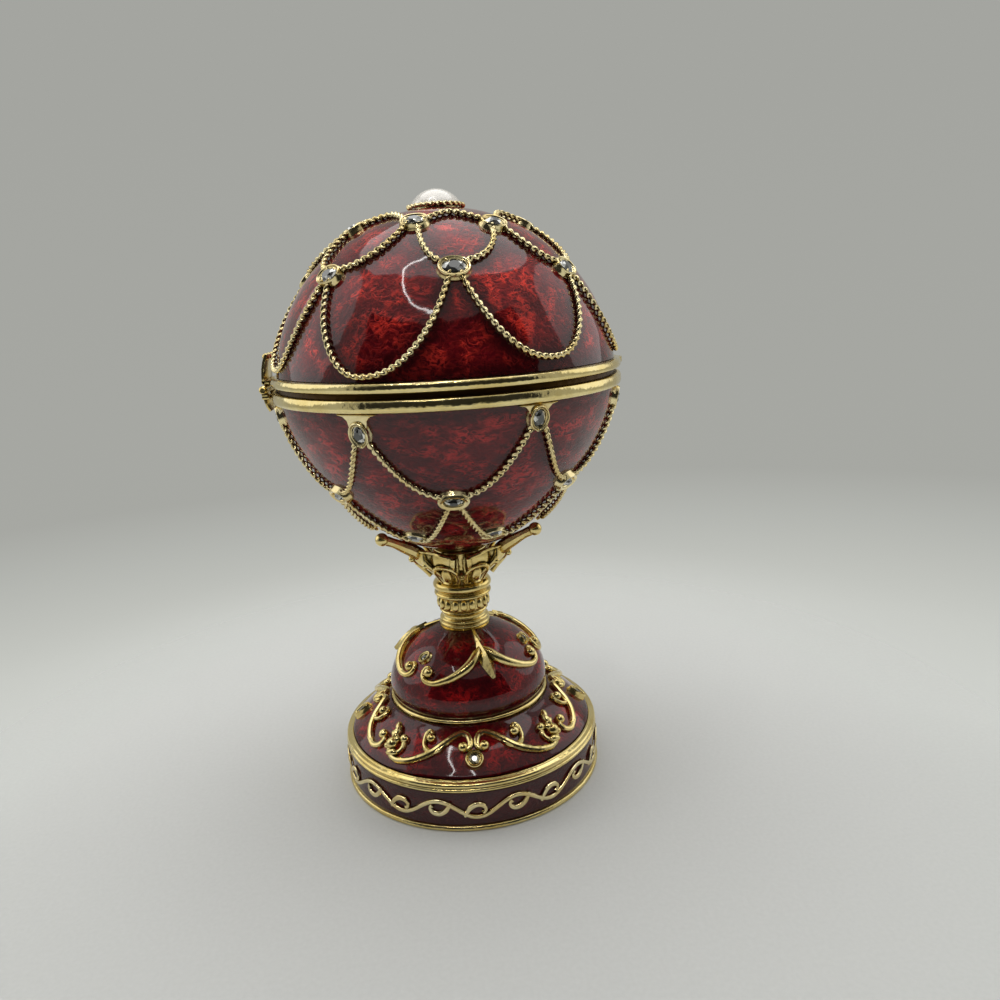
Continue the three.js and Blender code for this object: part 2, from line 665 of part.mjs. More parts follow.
function lowerCollar() {
  const beads = ringOutline(COLLAR_OUTLINE, COLLAR_RADIUS, bunTop + STACK_GAP, COLLAR_HEIGHT);
  return bored([...beads, [NECK_RADIUS, ribbedBase]]);
}

function ribbedRing() {
  const shape = new THREE.Shape();
  for (let i = 0; i < 2 * RIB_COUNT; i++) {
    const radius = i % 2 ? RIBBED_RADIUS - RIB_DEPTH : RIBBED_RADIUS;
    const a = (Math.PI * i) / RIB_COUNT;
    shape[i ? "lineTo" : "moveTo"](radius * Math.cos(a), radius * Math.sin(a));
  }
  const bore = new THREE.Path();
  bore.absarc(0, 0, SCREW_RADIUS + SCREW_CLEARANCE, 0, 2 * Math.PI, true);
  shape.holes.push(bore);
  const height = RIBBED_HEIGHT - 2 * STACK_GAP;
  const geometry = new THREE.ExtrudeGeometry(shape, { depth: height, bevelEnabled: false, curveSegments: 5 });
  return geometry.translate(0, 0, ribbedBase + STACK_GAP);
}

function upperRing() {
  const beads = ringOutline(UPPER_RING_OUTLINE, UPPER_RING_RADIUS, upperRingBase, UPPER_RING_HEIGHT);
  return bored([[RIBBED_RADIUS - RIB_DEPTH, upperRingBase], ...beads, [NECK_RADIUS, calyxBase - STACK_GAP]]);
}

// Calyx: a core that seats the bowl, three leaves, three arms with ball ends, and volutes by the gaps
function bowlZ(radius) {
  return BOWL.plane - depthAtRadius(BOWL, radius);
}

function calyxCore() {
  const bore = SCREW_RADIUS + SCREW_CLEARANCE;
  const seatRadius = BOSS_RADIUS + CALYX_CLEARANCE;
  const innerRim = BOSS_RADIUS + 4 * CALYX_CLEARANCE;
  return turned(
    [
      [bore, calyxBase],
      [NECK_RADIUS, calyxBase],
      [CALYX_CORE_RADIUS, calyxBase + CALYX_CORE_SHARE * CALYX_SEAT_HEIGHT],
      [CALYX_CORE_RADIUS, bowlZ(CALYX_CORE_RADIUS) - 3 * CALYX_CLEARANCE],
      [innerRim, bowlZ(innerRim) - 3 * CALYX_CLEARANCE],
      [seatRadius, calyxSeat],
      [bore, calyxSeat],
    ],
    STEM_SEGMENTS,
  );
}

function calyxFlare() {
  const outer = LEAF_OUTLINE.map(([radius, rise]) => [radius, calyxBase + rise]);
  const inner = outer.map(([radius, z]) => [radius - LEAF_THICKNESS, z]).reverse();
  const lip = bowlZ(CALYX_RIM_RADIUS) - 2 * CALYX_CLEARANCE;
  const back = CALYX_RIM_RADIUS - LEAF_THICKNESS;
  const tip = [[CALYX_RIM_RADIUS, lip - LEAF_THICKNESS / 3], [CALYX_RIM_RADIUS, lip]];
  return turned([...outer, ...tip, [back, bowlZ(back) - 2 * CALYX_CLEARANCE], ...inner], ROUND_SEGMENTS);
}

function calyxGap(azimuth) {
  const across = (side) => GAP_OUTLINE.map(([half, rise]) => new THREE.Vector2(side * half, rise));
  const shape = new THREE.Shape([...across(1), ...across(-1).reverse()]);
  const reach = CALYX_RIM_RADIUS;
  const wedge = new THREE.ExtrudeGeometry(shape, { depth: reach, bevelEnabled: false });
  wedge.rotateX(Math.PI / 2).translate(0, -CALYX_CORE_RADIUS + LEAF_THICKNESS, calyxBase);
  return wedge.rotateZ(THREE.MathUtils.degToRad(azimuth));
}

function calyxArm(azimuth) {
  const end = polar(ARM_REACH, azimuth, calyxSeat + ARM_RISE);
  const route = [
    polar(CALYX_BELLY, azimuth, calyxBase + 3.4),
    polar(CALYX_RIM_RADIUS, azimuth, calyxSeat + 1.6),
    polar(ARM_REACH - 5.0, azimuth, calyxSeat + ARM_RISE - 2.75),
    polar(ARM_REACH - 3.0, azimuth, calyxSeat + ARM_RISE - 1.9),
    polar(ARM_REACH - 1.6, azimuth, calyxSeat + ARM_RISE - 1.1),
    end,
  ];
  return [tube(route, ARM_RADIUS, 5), ball(end, ARM_BALL_RADIUS)];
}

// Radius of the leaves' outer face at a rise above the calyx's base
function leafRadiusAt(rise) {
  const next = LEAF_OUTLINE.findIndex((point) => point[1] >= rise);
  const [to, from] = [LEAF_OUTLINE[next], LEAF_OUTLINE[next - 1]];
  return from[0] + ((to[0] - from[0]) * (rise - from[1])) / (to[1] - from[1]);
}

function calyxVolute(azimuth, side) {
  const arch = [];
  for (let i = 0; i <= 4; i++) {
    const a = (Math.PI * i) / 4;
    const rise = LOBE_FOOT + LOBE_RISE * Math.sin(a);
    const radius = leafRadiusAt(rise);
    const across = THREE.MathUtils.radToDeg((LOBE_RADIUS * Math.cos(a)) / radius);
    arch.push(polar(radius, azimuth + side * (LOBE_TURN + across), calyxBase + rise));
  }
  return tube(arch, LOBE_TUBE, 4);
}

function calyx() {
  const azimuths = Array.from({ length: ARM_COUNT }, (_, i) => ARM_AZIMUTH + (360 * i) / ARM_COUNT);
  const gaps = azimuths.map((azimuth) => calyxGap(azimuth + 180 / ARM_COUNT));
  const leaves = gaps.map(solid).reduce((whole, gap) => whole.subtract(gap), solid(calyxFlare()));
  const pieces = [calyxCore()];
  for (const azimuth of azimuths) {
    pieces.push(...calyxArm(azimuth), calyxVolute(azimuth, 1), calyxVolute(azimuth, -1));
  }
  return join(pieces).add(leaves);
}

// Screw and washer
function stemScrew() {
  const headTop = bunTop - FOOT_ROOF - WASHER_THICKNESS - 2 * STACK_GAP;
  const tip = bossBottom + BOSS_HOLE_DEPTH - SCREW_END_GAP;
  return turned(
    [
      [0, headTop - SCREW_HEAD_HEIGHT],
      [SCREW_HEAD_RADIUS - 0.5, headTop - SCREW_HEAD_HEIGHT],
      [SCREW_HEAD_RADIUS, headTop - SCREW_HEAD_HEIGHT / 2],
      [SCREW_HEAD_RADIUS, headTop],
      [SCREW_RADIUS, headTop],
      [SCREW_RADIUS, tip - 0.4],
      [SCREW_RADIUS - 0.4, tip],
      [0, tip],
    ],
    SMALL_SEGMENTS,
  );
}

function stemWasher() {
  const top = bunTop - FOOT_ROOF - STACK_GAP;
  const bore = SCREW_RADIUS + SCREW_CLEARANCE;
  const bottom = top - WASHER_THICKNESS;
  return turned([[bore, bottom], [WASHER_RADIUS, bottom], [WASHER_RADIUS, top], [bore, top]], SMALL_SEGMENTS);
}

// Egg shells: the enamel's bed has the same steps as the casting, so the skin between them is even
const shellInset = ENAMEL_THICKNESS + SKIN_GAP;
const wallInset = shellInset + SHELL_WALL;

function bowlShell() {
  const rimDepth = RIM_HEIGHT + RIM_SEAT_GAP;
  const outer = domeProfile(BOWL, rimDepth, BOSS_RADIUS, shellInset, DOME_BED_STEPS).reverse();
  const inner = domeProfile(BOWL, rimDepth, 0, wallInset, DOME_BED_STEPS);
  const hole = SCREW_RADIUS + THREAD_CLEARANCE;
  return turned([
    [0, bossBottom + BOSS_HOLE_DEPTH],
    [hole, bossBottom + BOSS_HOLE_DEPTH],
    [hole, bossBottom],
    [BOSS_RADIUS, bossBottom],
    ...outer,
    ...inner,
  ]);
}

function bowlEnamel() {
  const outer = domeProfile(BOWL, RIM_HEIGHT + SKIN_GAP, BOSS_RADIUS + 2 * CALYX_CLEARANCE, 0, DOME_STEPS);
  const bed = domeProfile(BOWL, RIM_HEIGHT + RIM_SEAT_GAP, BOSS_RADIUS, ENAMEL_THICKNESS, DOME_BED_STEPS);
  return turned([...outer, ...trimmed(bed, BOWL, RIM_HEIGHT + SKIN_GAP, BOSS_RADIUS + 2 * CALYX_CLEARANCE)]);
}

// A bed's profile cut back at the rim and at the pole's opening, and turned round to close the skin
function trimmed(bed, dome, fromDepth, toRadius) {
  const first = [radiusAtDepth(dome, fromDepth, ENAMEL_THICKNESS), dome.plane + dome.way * fromDepth];
  const [last, before] = [bed[bed.length - 1], bed[bed.length - 2]];
  const share = (toRadius - before[0]) / (last[0] - before[0]);
  const end = [toRadius, before[1] + (last[1] - before[1]) * share];
  return [first, ...bed.slice(1, -1), end].reverse();
}

function lidShell() {
  const rimDepth = RIM_HEIGHT + RIM_SEAT_GAP;
  const outer = domeProfile(LID, rimDepth, 0, shellInset, DOME_BED_STEPS);
  const inner = domeProfile(LID, rimDepth, 0, wallInset, DOME_BED_STEPS).reverse();
  return turned([...inner, ...outer]);
}

function lidEnamel() {
  const outer = domeProfile(LID, RIM_HEIGHT + SKIN_GAP, CUP_STEM_RADIUS + CUP_LIFT, 0, DOME_STEPS);
  const bed = domeProfile(LID, RIM_HEIGHT + RIM_SEAT_GAP, 0, ENAMEL_THICKNESS, DOME_BED_STEPS);
  return turned([...outer, ...trimmed(bed, LID, RIM_HEIGHT + SKIN_GAP, CUP_STEM_RADIUS + CUP_LIFT)]);
}

// Rims: the bowl's carries a shoulder and the collar that centres the lid
const collarOuter = EGG_RADIUS - wallInset + COLLAR_WALL;

function bowlRim() {
  const inner = collarOuter - COLLAR_WALL;
  return turned([
    [inner, bowlRimBottom],
    [RIM_RADIUS - RIM_BEVEL, bowlRimBottom],
    [RIM_RADIUS, bowlRimBottom + RIM_BEVEL],
    [RIM_RADIUS, bowlPlane - RIM_BEVEL],
    [RIM_RADIUS - RIM_BEVEL, bowlPlane],
    [RIM_RADIUS - SEAM_SHOULDER, bowlPlane],
    [RIM_RADIUS - SEAM_SHOULDER, shoulderTop],
    [collarOuter, shoulderTop],
    [collarOuter, bowlPlane + COLLAR_RISE],
    [inner, bowlPlane + COLLAR_RISE],
  ]);
}

function lidRim() {
  const inner = collarOuter + COLLAR_CLEARANCE;
  const ring = turned([
    [inner, lidPlane],
    [RIM_RADIUS - RIM_BEVEL, lidPlane],
    [RIM_RADIUS, lidPlane + RIM_BEVEL],
    [RIM_RADIUS, lidRimTop - RIM_BEVEL],
    [RIM_RADIUS - RIM_BEVEL, lidRimTop],
    [inner, lidRimTop],
  ]);
  const half = THUMB_LIP_WIDTH / 2;
  const lip = new THREE.Shape();
  const root = RIM_RADIUS - 2 * RIM_BEVEL;
  lip.moveTo(root, -half);
  lip.quadraticCurveTo(RIM_RADIUS + THUMB_LIP_REACH * 0.6, -half * 0.8, RIM_RADIUS + THUMB_LIP_REACH, 0);
  lip.quadraticCurveTo(RIM_RADIUS + THUMB_LIP_REACH * 0.6, half * 0.8, root, half);
  lip.closePath();
  const thickness = RIM_HEIGHT - 2 * RIM_BEVEL;
  const lipBody = new THREE.ExtrudeGeometry(lip, { depth: thickness, bevelEnabled: false, curveSegments: 4 });
  return [ring, lipBody.translate(0, 0, lidPlane + RIM_BEVEL)];
}

// Hinge: outlines are drawn round the pin's axis, X outwards negative
function knuckleShape() {
  const shape = new THREE.Shape();
  shape.absarc(0, 0, KNUCKLE_RADIUS, 0, 2 * Math.PI, false);
  const hole = new THREE.Path();
  hole.absarc(0, 0, (PIN_RADIUS + PIN_CLEARANCE) / Math.cos(Math.PI / 12), 0, 2 * Math.PI, true);
  shape.holes.push(hole);
  return shape;
}

function knuckle(width, centreY) {
  return plateAlongY(knuckleShape(), width, centreY);
}

function padShape(way) {
  const seat = HINGE_OFFSET - LEAF_SEAT_GAP;
  const rimNear = SEAM_GROOVE / 2 + RIM_BEVEL;
  const rimFar = SEAM_GROOVE / 2 + RIM_HEIGHT - RIM_BEVEL;
  const shape = new THREE.Shape();
  shape.moveTo(-KNUCKLE_RADIUS, way * (rimNear + PAD_CHAMFER));
  shape.lineTo(-KNUCKLE_RADIUS + PAD_CHAMFER, way * rimNear);
  shape.lineTo(seat, way * rimNear);
  shape.lineTo(seat, way * rimFar);
  shape.lineTo(-KNUCKLE_RADIUS + 0.1, way * rimFar);
  shape.closePath();
  return shape;
}

function webShape(way) {
  const rimNear = SEAM_GROOVE / 2 + RIM_BEVEL;
  const shape = new THREE.Shape();
  const bite = KNUCKLE_RADIUS * 0.72;
  shape.moveTo(-KNUCKLE_RADIUS + PAD_CHAMFER, way * (rimNear + 0.2));
  shape.lineTo(-bite, way * bite * 0.85);
  shape.lineTo(bite, way * bite * 0.85);
  shape.lineTo(bite, way * (rimNear + 0.2));
  shape.closePath();
  return shape;
}

function tabShape() {
  const foot = SEAM_GROOVE / 2 + RIM_HEIGHT / 2;
  const face = -KNUCKLE_RADIUS;
  const shape = new THREE.Shape();
  shape.moveTo(face, foot);
  shape.quadraticCurveTo(face + 0.1, TAB_HEIGHT * 0.6, face + 1.4, TAB_HEIGHT);
  shape.lineTo(face + 1.4 + TAB_THICKNESS, TAB_HEIGHT - 0.2);
  shape.quadraticCurveTo(face + 0.2 + TAB_THICKNESS, TAB_HEIGHT * 0.6, face + TAB_THICKNESS, foot);
  shape.closePath();
  return shape;
}

function apronShape() {
  const foot = SEAM_GROOVE / 2 + RIM_HEIGHT / 2;
  const end = SEAM_GROOVE / 2 + RIM_HEIGHT + 0.9;
  const shape = new THREE.Shape();
  shape.moveTo(-KNUCKLE_RADIUS, -foot);
  shape.lineTo(-KNUCKLE_RADIUS + 0.75, -end);
  shape.lineTo(-KNUCKLE_RADIUS + 0.75 + TAB_THICKNESS, -end + 0.2);
  shape.lineTo(-KNUCKLE_RADIUS + TAB_THICKNESS + 0.3, -foot);
  shape.closePath();
  return shape;
}

function atHinge(geometries) {
  return geometries.map((geometry) => geometry.translate(hingeX, 0, hingeZ));
}

function upperLeaf() {
  return atHinge([
    knuckle(CENTRE_KNUCKLE_WIDTH, 0),
    plateAlongY(webShape(1), CENTRE_KNUCKLE_WIDTH),
    plateAlongY(padShape(1), TAB_WIDTH),
    plateAlongY(tabShape(), TAB_WIDTH),
  ]);
}

function lowerLeaf() {
  const inner = CENTRE_KNUCKLE_WIDTH / 2 + KNUCKLE_GAP;
  const width = HINGE_WIDTH / 2 - inner;
  const pieces = [plateAlongY(padShape(-1), HINGE_WIDTH), plateAlongY(apronShape(), TAB_WIDTH)];
  for (const side of [1, -1]) {
    const centre = side * (inner + width / 2);
    pieces.push(knuckle(width, centre), plateAlongY(webShape(-1), width, centre));
  }
  return atHinge(pieces);
}

function hingePin() {
  const half = HINGE_WIDTH / 2 + KNUCKLE_GAP / 2;
  const end = half + PIN_HEAD_HEIGHT;
  const pin = turned(
    [[0, -end], [PIN_HEAD_RADIUS, -end], [PIN_HEAD_RADIUS, -half], [PIN_RADIUS, -half],
     [PIN_RADIUS, half], [PIN_HEAD_RADIUS, half], [PIN_HEAD_RADIUS, end], [0, end]],
    SMALL_SEGMENTS,
  );
  return pin.rotateX(Math.PI / 2).translate(hingeX, 0, hingeZ);
}

// Trellises: stones of a ring and the ropes between them
const swagPitch = 360 / SWAG_COUNT;

function ringHeight(half, ring) {
  return half.plane + half.way * (ring.height ?? half.rise - ring.drop);
}

function stoneFrames(surface, half, ring, turn) {
  const frames = [];
  for (let i = 0; i < SWAG_COUNT; i++) {
    const azimuth = turn + (i + ring.shift) * swagPitch;
    frames.push(frameOn(surface, azimuth, ringHeight(half, ring), BEZEL_LIFT));
  }
  return frames;
}

// Half of a swag, from its lowest point out to the stone that it hangs from
function ropeLeg(surface, from, to, steps, power = SWAG_POWER) {
  const points = [];
  for (let i = 0; i <= steps; i++) {
    const share = i / steps;
    const azimuth = from.azimuth + (to.azimuth - from.azimuth) * share ** (2 / power);
    const z = from.z + (to.z - from.z) * share ** 2;
    points.push(frameOn(surface, azimuth, z, ROPE_LIFT).point);
  }
  return tube(points, ROPE_RADIUS, steps);
}

// A whole hanging swag between two stones of one ring
function ropeSwag(surface, centre, halfTurn, lowZ, highZ, halfSteps) {
  const points = [];
  for (let i = -halfSteps; i <= halfSteps; i++) {
    const share = Math.abs(i) / halfSteps;
    const azimuth = centre + Math.sign(i) * halfTurn * share ** (2 / SWAG_POWER);
    const z = lowZ + (highZ - lowZ) * share ** 2;
    points.push(frameOn(surface, azimuth, z, ROPE_LIFT).point);
  }
  return tube(points, ROPE_RADIUS, 2 * halfSteps);
}

function withPockets(blanks, pockets) {
  return pockets.map(solid).reduce((whole, pocket) => whole.subtract(pocket), join(blanks));
}

// Bezels of a ring, and the pockets for its stones
function settingRing(surface, half, ring, turn) {
  const frames = stoneFrames(surface, half, ring, turn);
  return {
    blanks: frames.map((frame) => bezelBlank(frame, ring.halfWidth, ring.halfHeight)),
    pockets: frames.map((frame) => bezelPocket(frame, ring.halfWidth, ring.halfHeight)),
  };
}

function lidTrellis() {
  const { lidTop, lidMiddle } = STONE_RINGS;
  const topZ = ringHeight(LID, lidTop);
  const middleZ = ringHeight(LID, lidMiddle);
  const top = settingRing("lid", LID, lidTop, LID_TURN);
  const middle = settingRing("lid", LID, lidMiddle, LID_TURN);
  const ropes = [];
  for (let i = 0; i < SWAG_COUNT; i++) {
    const stone = LID_TURN + i * swagPitch;
    const swagEnd = swagPitch / 2 - SWAG_END_TURN;
    ropes.push(ropeSwag("lid", stone + swagPitch / 2, swagEnd, LID.plane + LID_SWAG_FOOT, middleZ - 0.6, 4));
    for (const side of [1, -1]) {
      const from = { azimuth: stone + side * 2, z: middleZ + 0.9 };
      const to = { azimuth: stone + side * (swagPitch / 2 - SWAG_END_TURN), z: topZ - 0.2 };
      ropes.push(ropeLeg("lid", from, to, 2));
    }
    const crown = [-1, 0, 1].map((side) => {
      const z = topZ + 0.4 + (side ? 0 : CROWN_ROPE_RISE);
      return frameOn("lid", stone + side * (swagPitch / 2 - SWAG_END_TURN), z, ROPE_LIFT).point;
    });
    ropes.push(tube(crown, ROPE_RADIUS, 2));
  }
  return withPockets([...top.blanks, ...middle.blanks, ...ropes], [...top.pockets, ...middle.pockets]);
}

function bowlTrellis() {
  const { bowlUpper, bowlMiddle, bowlLower } = STONE_RINGS;
  const upperZ = ringHeight(BOWL, bowlUpper);
  const middleZ = ringHeight(BOWL, bowlMiddle);
  const lowerZ = ringHeight(BOWL, bowlLower);
  const upper = settingRing("bowl", BOWL, bowlUpper, BOWL_TURN);
  const middle = settingRing("bowl", BOWL, bowlMiddle, BOWL_TURN);
  const pieces = [...upper.blanks, ...middle.blanks];
  for (const frame of stoneFrames("bowl", BOWL, bowlLower, BOWL_TURN)) {
    pieces.push(solidSetting(frame, bowlLower.halfWidth, bowlLower.halfHeight));
  }
  const bridgeTop = bowlRimBottom - SKIN_GAP;
  for (let i = 0; i < SWAG_COUNT; i++) {
    const stone = BOWL_TURN + i * swagPitch;
    const bridgeZ = (upperZ + bridgeTop) / 2;
    const bridgeFrame = frameOn("bowl", stone + swagPitch / 2, bridgeZ, BEZEL_LIFT);
    const bridge = new THREE.BoxGeometry(BRIDGE_WIDTH, bridgeTop - upperZ - 0.1, BEZEL_HEIGHT * 0.8);
    pieces.push(place(bridge.translate(0, 0, BEZEL_HEIGHT * 0.4), bridgeFrame));
    for (const side of [1, -1]) {
      const beside = stone + side * (swagPitch / 2 - SWAG_END_TURN);
      const from = { azimuth: stone + side * 2, z: middleZ + 0.9 };
      pieces.push(ropeLeg("bowl", from, { azimuth: beside, z: upperZ - 1.1 }, 3));
      const high = { azimuth: stone + side * 2, z: middleZ - 0.9 };
      pieces.push(ropeLeg("bowl", { azimuth: beside, z: lowerZ + 0.3 }, high, 2));
    }
  }
  return withPockets(pieces, [...upper.pockets, ...middle.pockets]);
}

function addStones(name, surface, half, ring, turn) {
  stoneFrames(surface, half, ring, turn).forEach((frame, i) => {
    addPiece(`${name}_${i + 1}`, facetedStone(frame, ring.halfWidth, ring.halfHeight), "stone");
  });
}

// Pearl cup: a plate with an upright rim over the crown, and a stem that stands on the lid's casting
const pearlSeat = LID.plane + LID_HEIGHT + CUP_LIFT + CUP_PLATE;
const pearlFootRadius = Math.sqrt(PEARL_RADIUS ** 2 - (PEARL_RADIUS - PEARL_HEIGHT) ** 2);

function pearlCup() {
  const inner = pearlFootRadius + CUP_LIFT;
  const outer = inner + CUP_WALL;
  const under = LID.plane + LID_HEIGHT + CUP_LIFT;
  return turned(
    [
      [0, LID.plane + LID_HEIGHT - shellInset + CUP_LIFT],
      [CUP_STEM_RADIUS, LID.plane + LID_HEIGHT - shellInset + CUP_LIFT],
      [CUP_STEM_RADIUS, under],
      [outer, under],
      [outer, pearlSeat + CUP_RIM_HEIGHT],
      [inner, pearlSeat + CUP_RIM_HEIGHT],
      [inner, pearlSeat],
      [0, pearlSeat],
    ],
    STEM_SEGMENTS,
  );
}

function pearl() {
  const centre = pearlSeat + STACK_GAP + PEARL_HEIGHT - PEARL_RADIUS;
  const outline = [[0, pearlSeat + STACK_GAP]];
  const lowest = Math.asin((PEARL_RADIUS - PEARL_HEIGHT) / PEARL_RADIUS);
  for (let i = 0; i <= 5; i++) {
    const a = lowest + ((Math.PI / 2 - lowest) * i) / 5;
    const radius = i === 5 ? 0 : PEARL_RADIUS * Math.cos(a);
    outline.push([radius, centre + PEARL_RADIUS * Math.sin(a)]);
  }
  return turned(outline, STEM_SEGMENTS);
}

// The assembly, from the foot up
addPiece("foot_casting", footCasting(), "gold");
addPiece("foot_band_enamel", footBandEnamel(), "enamel");
addPiece("foot_band_vine", footVine(), "gold");
addPiece("foot_flange_enamel", flangeEnamel(), "enamel");
addJoined("flange_front_scrolls", flangeFrontMotif(0), "gold");
addJoined("flange_back_scrolls", flangeFrontMotif(180), "gold");
addJoined("flange_right_scrolls", flangeSideMotif(90), "gold");
addJoined("flange_left_scrolls", flangeSideMotif(-90), "gold");
addPiece("bun_enamel", bunEnamel(), "enamel");
for (let i = 0; i < LEAF_COUNT; i++) {
  const azimuth = LEAF_AZIMUTH + (360 * i) / LEAF_COUNT;
  addJoined(`bun_leaf_scroll_${i + 1}`, bunLeafMotif(azimuth), "gold");
}
addPiece("stem_lower_collar", lowerCollar(), "gold");
addPiece("stem_ribbed_ring", ribbedRing(), "gold");
addPiece("stem_upper_ring", upperRing(), "gold");
addSolid("calyx", calyx(), "gold");
addPiece("stem_screw", stemScrew(), "steel");
addPiece("stem_washer", stemWasher(), "steel");
addPiece("bowl_shell", bowlShell(), "plating");
addPiece("bowl_enamel", bowlEnamel(), "enamel");
addPiece("bowl_rim", bowlRim(), "gold");
addSolid("bowl_rope_trellis", bowlTrellis(), "gold");
addStones("bowl_upper_stone", "bowl", BOWL, STONE_RINGS.bowlUpper, BOWL_TURN);
addStones("bowl_middle_stone", "bowl", BOWL, STONE_RINGS.bowlMiddle, BOWL_TURN);
addJoined("hinge_lower_leaf", lowerLeaf(), "gold");
addPiece("hinge_pin", hingePin(), "gold");
addPiece("lid_shell", lidShell(), "plating");
addPiece("lid_enamel", lidEnamel(), "enamel");
addJoined("lid_rim", lidRim(), "gold");
addSolid("lid_rope_trellis", lidTrellis(), "gold");
addStones("lid_middle_stone", "lid", LID, STONE_RINGS.lidMiddle, LID_TURN);
addStones("lid_top_stone", "lid", LID, STONE_RINGS.lidTop, LID_TURN);
addJoined("hinge_upper_leaf", upperLeaf(), "gold");
addPiece("pearl_cup", pearlCup(), "gold");
addPiece("pearl", pearl(), "pearl");

export default model;
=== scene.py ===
# %% [markdown]
# # Enamel egg box on a stand
# A small gilt box in the shape of an egg, which opens at its waist on a hinge at the left. Red
# translucent enamel covers the castings, gilt rope swags with set stones wrap the egg, and a
# three-armed calyx, a ringed stem and a domed foot carry it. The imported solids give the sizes; this
# lesson dresses each of them with the form and the finish of the real piece. Sizes are written in
# millimetres and turned into metres when a piece is finished.

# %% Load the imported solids
import math

import bmesh
import bpy
from mathutils import Matrix, Vector, kdtree, noise


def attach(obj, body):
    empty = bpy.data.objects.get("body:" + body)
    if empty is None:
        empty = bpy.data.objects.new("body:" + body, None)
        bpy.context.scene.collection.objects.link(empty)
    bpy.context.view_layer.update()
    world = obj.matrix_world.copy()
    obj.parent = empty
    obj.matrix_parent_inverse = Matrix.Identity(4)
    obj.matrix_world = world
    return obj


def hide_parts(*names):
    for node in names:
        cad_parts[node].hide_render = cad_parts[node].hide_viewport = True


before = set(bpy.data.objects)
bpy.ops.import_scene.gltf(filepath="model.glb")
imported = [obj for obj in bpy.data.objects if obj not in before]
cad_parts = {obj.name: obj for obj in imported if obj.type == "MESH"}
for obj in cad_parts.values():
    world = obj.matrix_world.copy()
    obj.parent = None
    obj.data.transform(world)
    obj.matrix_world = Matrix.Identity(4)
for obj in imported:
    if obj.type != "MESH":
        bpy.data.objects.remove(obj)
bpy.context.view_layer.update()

MM = 0.001

# %% [markdown]
# ## Domes that carry the ornament
# The bun of the foot and both halves of the egg are superellipses turned about the upright axis: one
# formula gives the radius at a height, and its inverse gives the depth at a radius. Every bezel, rope
# and scroll is laid on these, so it touches the skin wherever it is moved to.

# %% Dome formula
class Dome:
    def __init__(self, plane, way, radius, rise, depth_power, radius_power):
        self.plane, self.way, self.radius, self.rise = plane, way, radius, rise
        self.depth_power, self.radius_power = depth_power, radius_power

    def radius_at_depth(self, depth, inset=0.0):
        share = min(1.0, max(0.0, depth / (self.rise - inset)))
        return (self.radius - inset) * (1 - share ** self.depth_power) ** (1 / self.radius_power)

    def depth_at(self, radius, inset=0.0):
        share = min(1.0, max(0.0, radius / (self.radius - inset)))
        return (self.rise - inset) * (1 - share ** self.radius_power) ** (1 / self.depth_power)

    def radius_at(self, z):
        return self.radius_at_depth((z - self.plane) * self.way)

    def profile(self, from_depth, to_radius, inset=0.0, steps=40):
        start = math.asin(from_depth / (self.rise - inset))
        end = math.asin(min(1.0, self.depth_at(to_radius, inset) / (self.rise - inset)))
        points = []
        for i in range(steps + 1):
            depth = (self.rise - inset) * math.sin(start + (end - start) * i / steps)
            radius = to_radius if i == steps else self.radius_at_depth(depth, inset)
            points.append((radius, self.plane + self.way * depth))
        return points


BUN = Dome(17.95, 1, 15.3, 11.9, 2.0, 1.6)
LID = Dome(76.99525, 1, 29.9, 28.2, 1.8, 2.1)
BOWL = Dome(75.69525, -1, 29.9, 31.3, 1.7, 1.8)
print("bowl ends at", round(BOWL.plane - BOWL.rise, 2), "lid ends at", round(LID.plane + LID.rise, 2))

# %% [markdown]
# ## Heights of the foot and the stem
# The foot is one casting: a plain ring, an enamelled band, a double edge ring, a sloping flange, a
# waist ring and the bun. Three turned rings and the calyx are stacked on it and drawn together by a
# screw from below. The values are those of the solids, in millimetres.

# %% Sizes shared by several pieces
FOOT_RADIUS, RING_TOP, BAND_TOP, EDGE_TOP = 25.0, 0.95, 7.4, 9.3
BAND_RADIUS, BED_RADIUS = 24.5, 23.8
FLANGE_START, FLANGE_END, FLANGE_RISE, FLANGE_CROWN = 23.4, 15.35, 5.75, 0.5
WAIST_RADIUS, WAIST_Z, WAIST_BEAD, SKIRT_Z = 14.95, 15.5, 0.45, 15.95
BORE = 1.8
BUN_TOP_RADIUS, BUN_SEAT = 4.9, 2.6
BUN_TOP = BUN.plane + BUN.depth_at(BUN_TOP_RADIUS)
RIBBED_BASE = BUN_TOP + 3.55
UPPER_BASE = RIBBED_BASE + 2.6
CALYX_BASE = UPPER_BASE + 3.9
CALYX_SEAT = CALYX_BASE + 4.55
RIM_RADIUS, RIM_HEIGHT, SEAM = 31.0, 1.6, 1.3
ENAMEL, SKIN_GAP, WALL = 0.7, 0.14, 1.4
HINGE_X, HINGE_Z = -32.05, BOWL.plane + SEAM / 2
print("bun top", round(BUN_TOP, 3), "calyx base", round(CALYX_BASE, 3), "seat", round(CALYX_SEAT, 3))


def flange_point(share, inset=0.0):
    """The flange is one shallow arc from the edge ring up to the waist."""
    run = Vector((FLANGE_END - FLANGE_START, FLANGE_RISE))
    out = Vector((run.y, -run.x)).normalized()
    crown = 4 * FLANGE_CROWN * share * (1 - share) - inset
    return FLANGE_START + run.x * share + out.x * crown, EDGE_TOP + run.y * share + out.y * crown


def flange_radius(z, count=24):
    stops = [flange_point(i / count) for i in range(count + 1)]
    i = next((i for i, stop in enumerate(stops[1:-1]) if stop[1] > z), count - 1)
    (r0, z0), (r1, z1) = stops[i], stops[i + 1]
    return r0 + (r1 - r0) * (z - z0) / (z1 - z0)


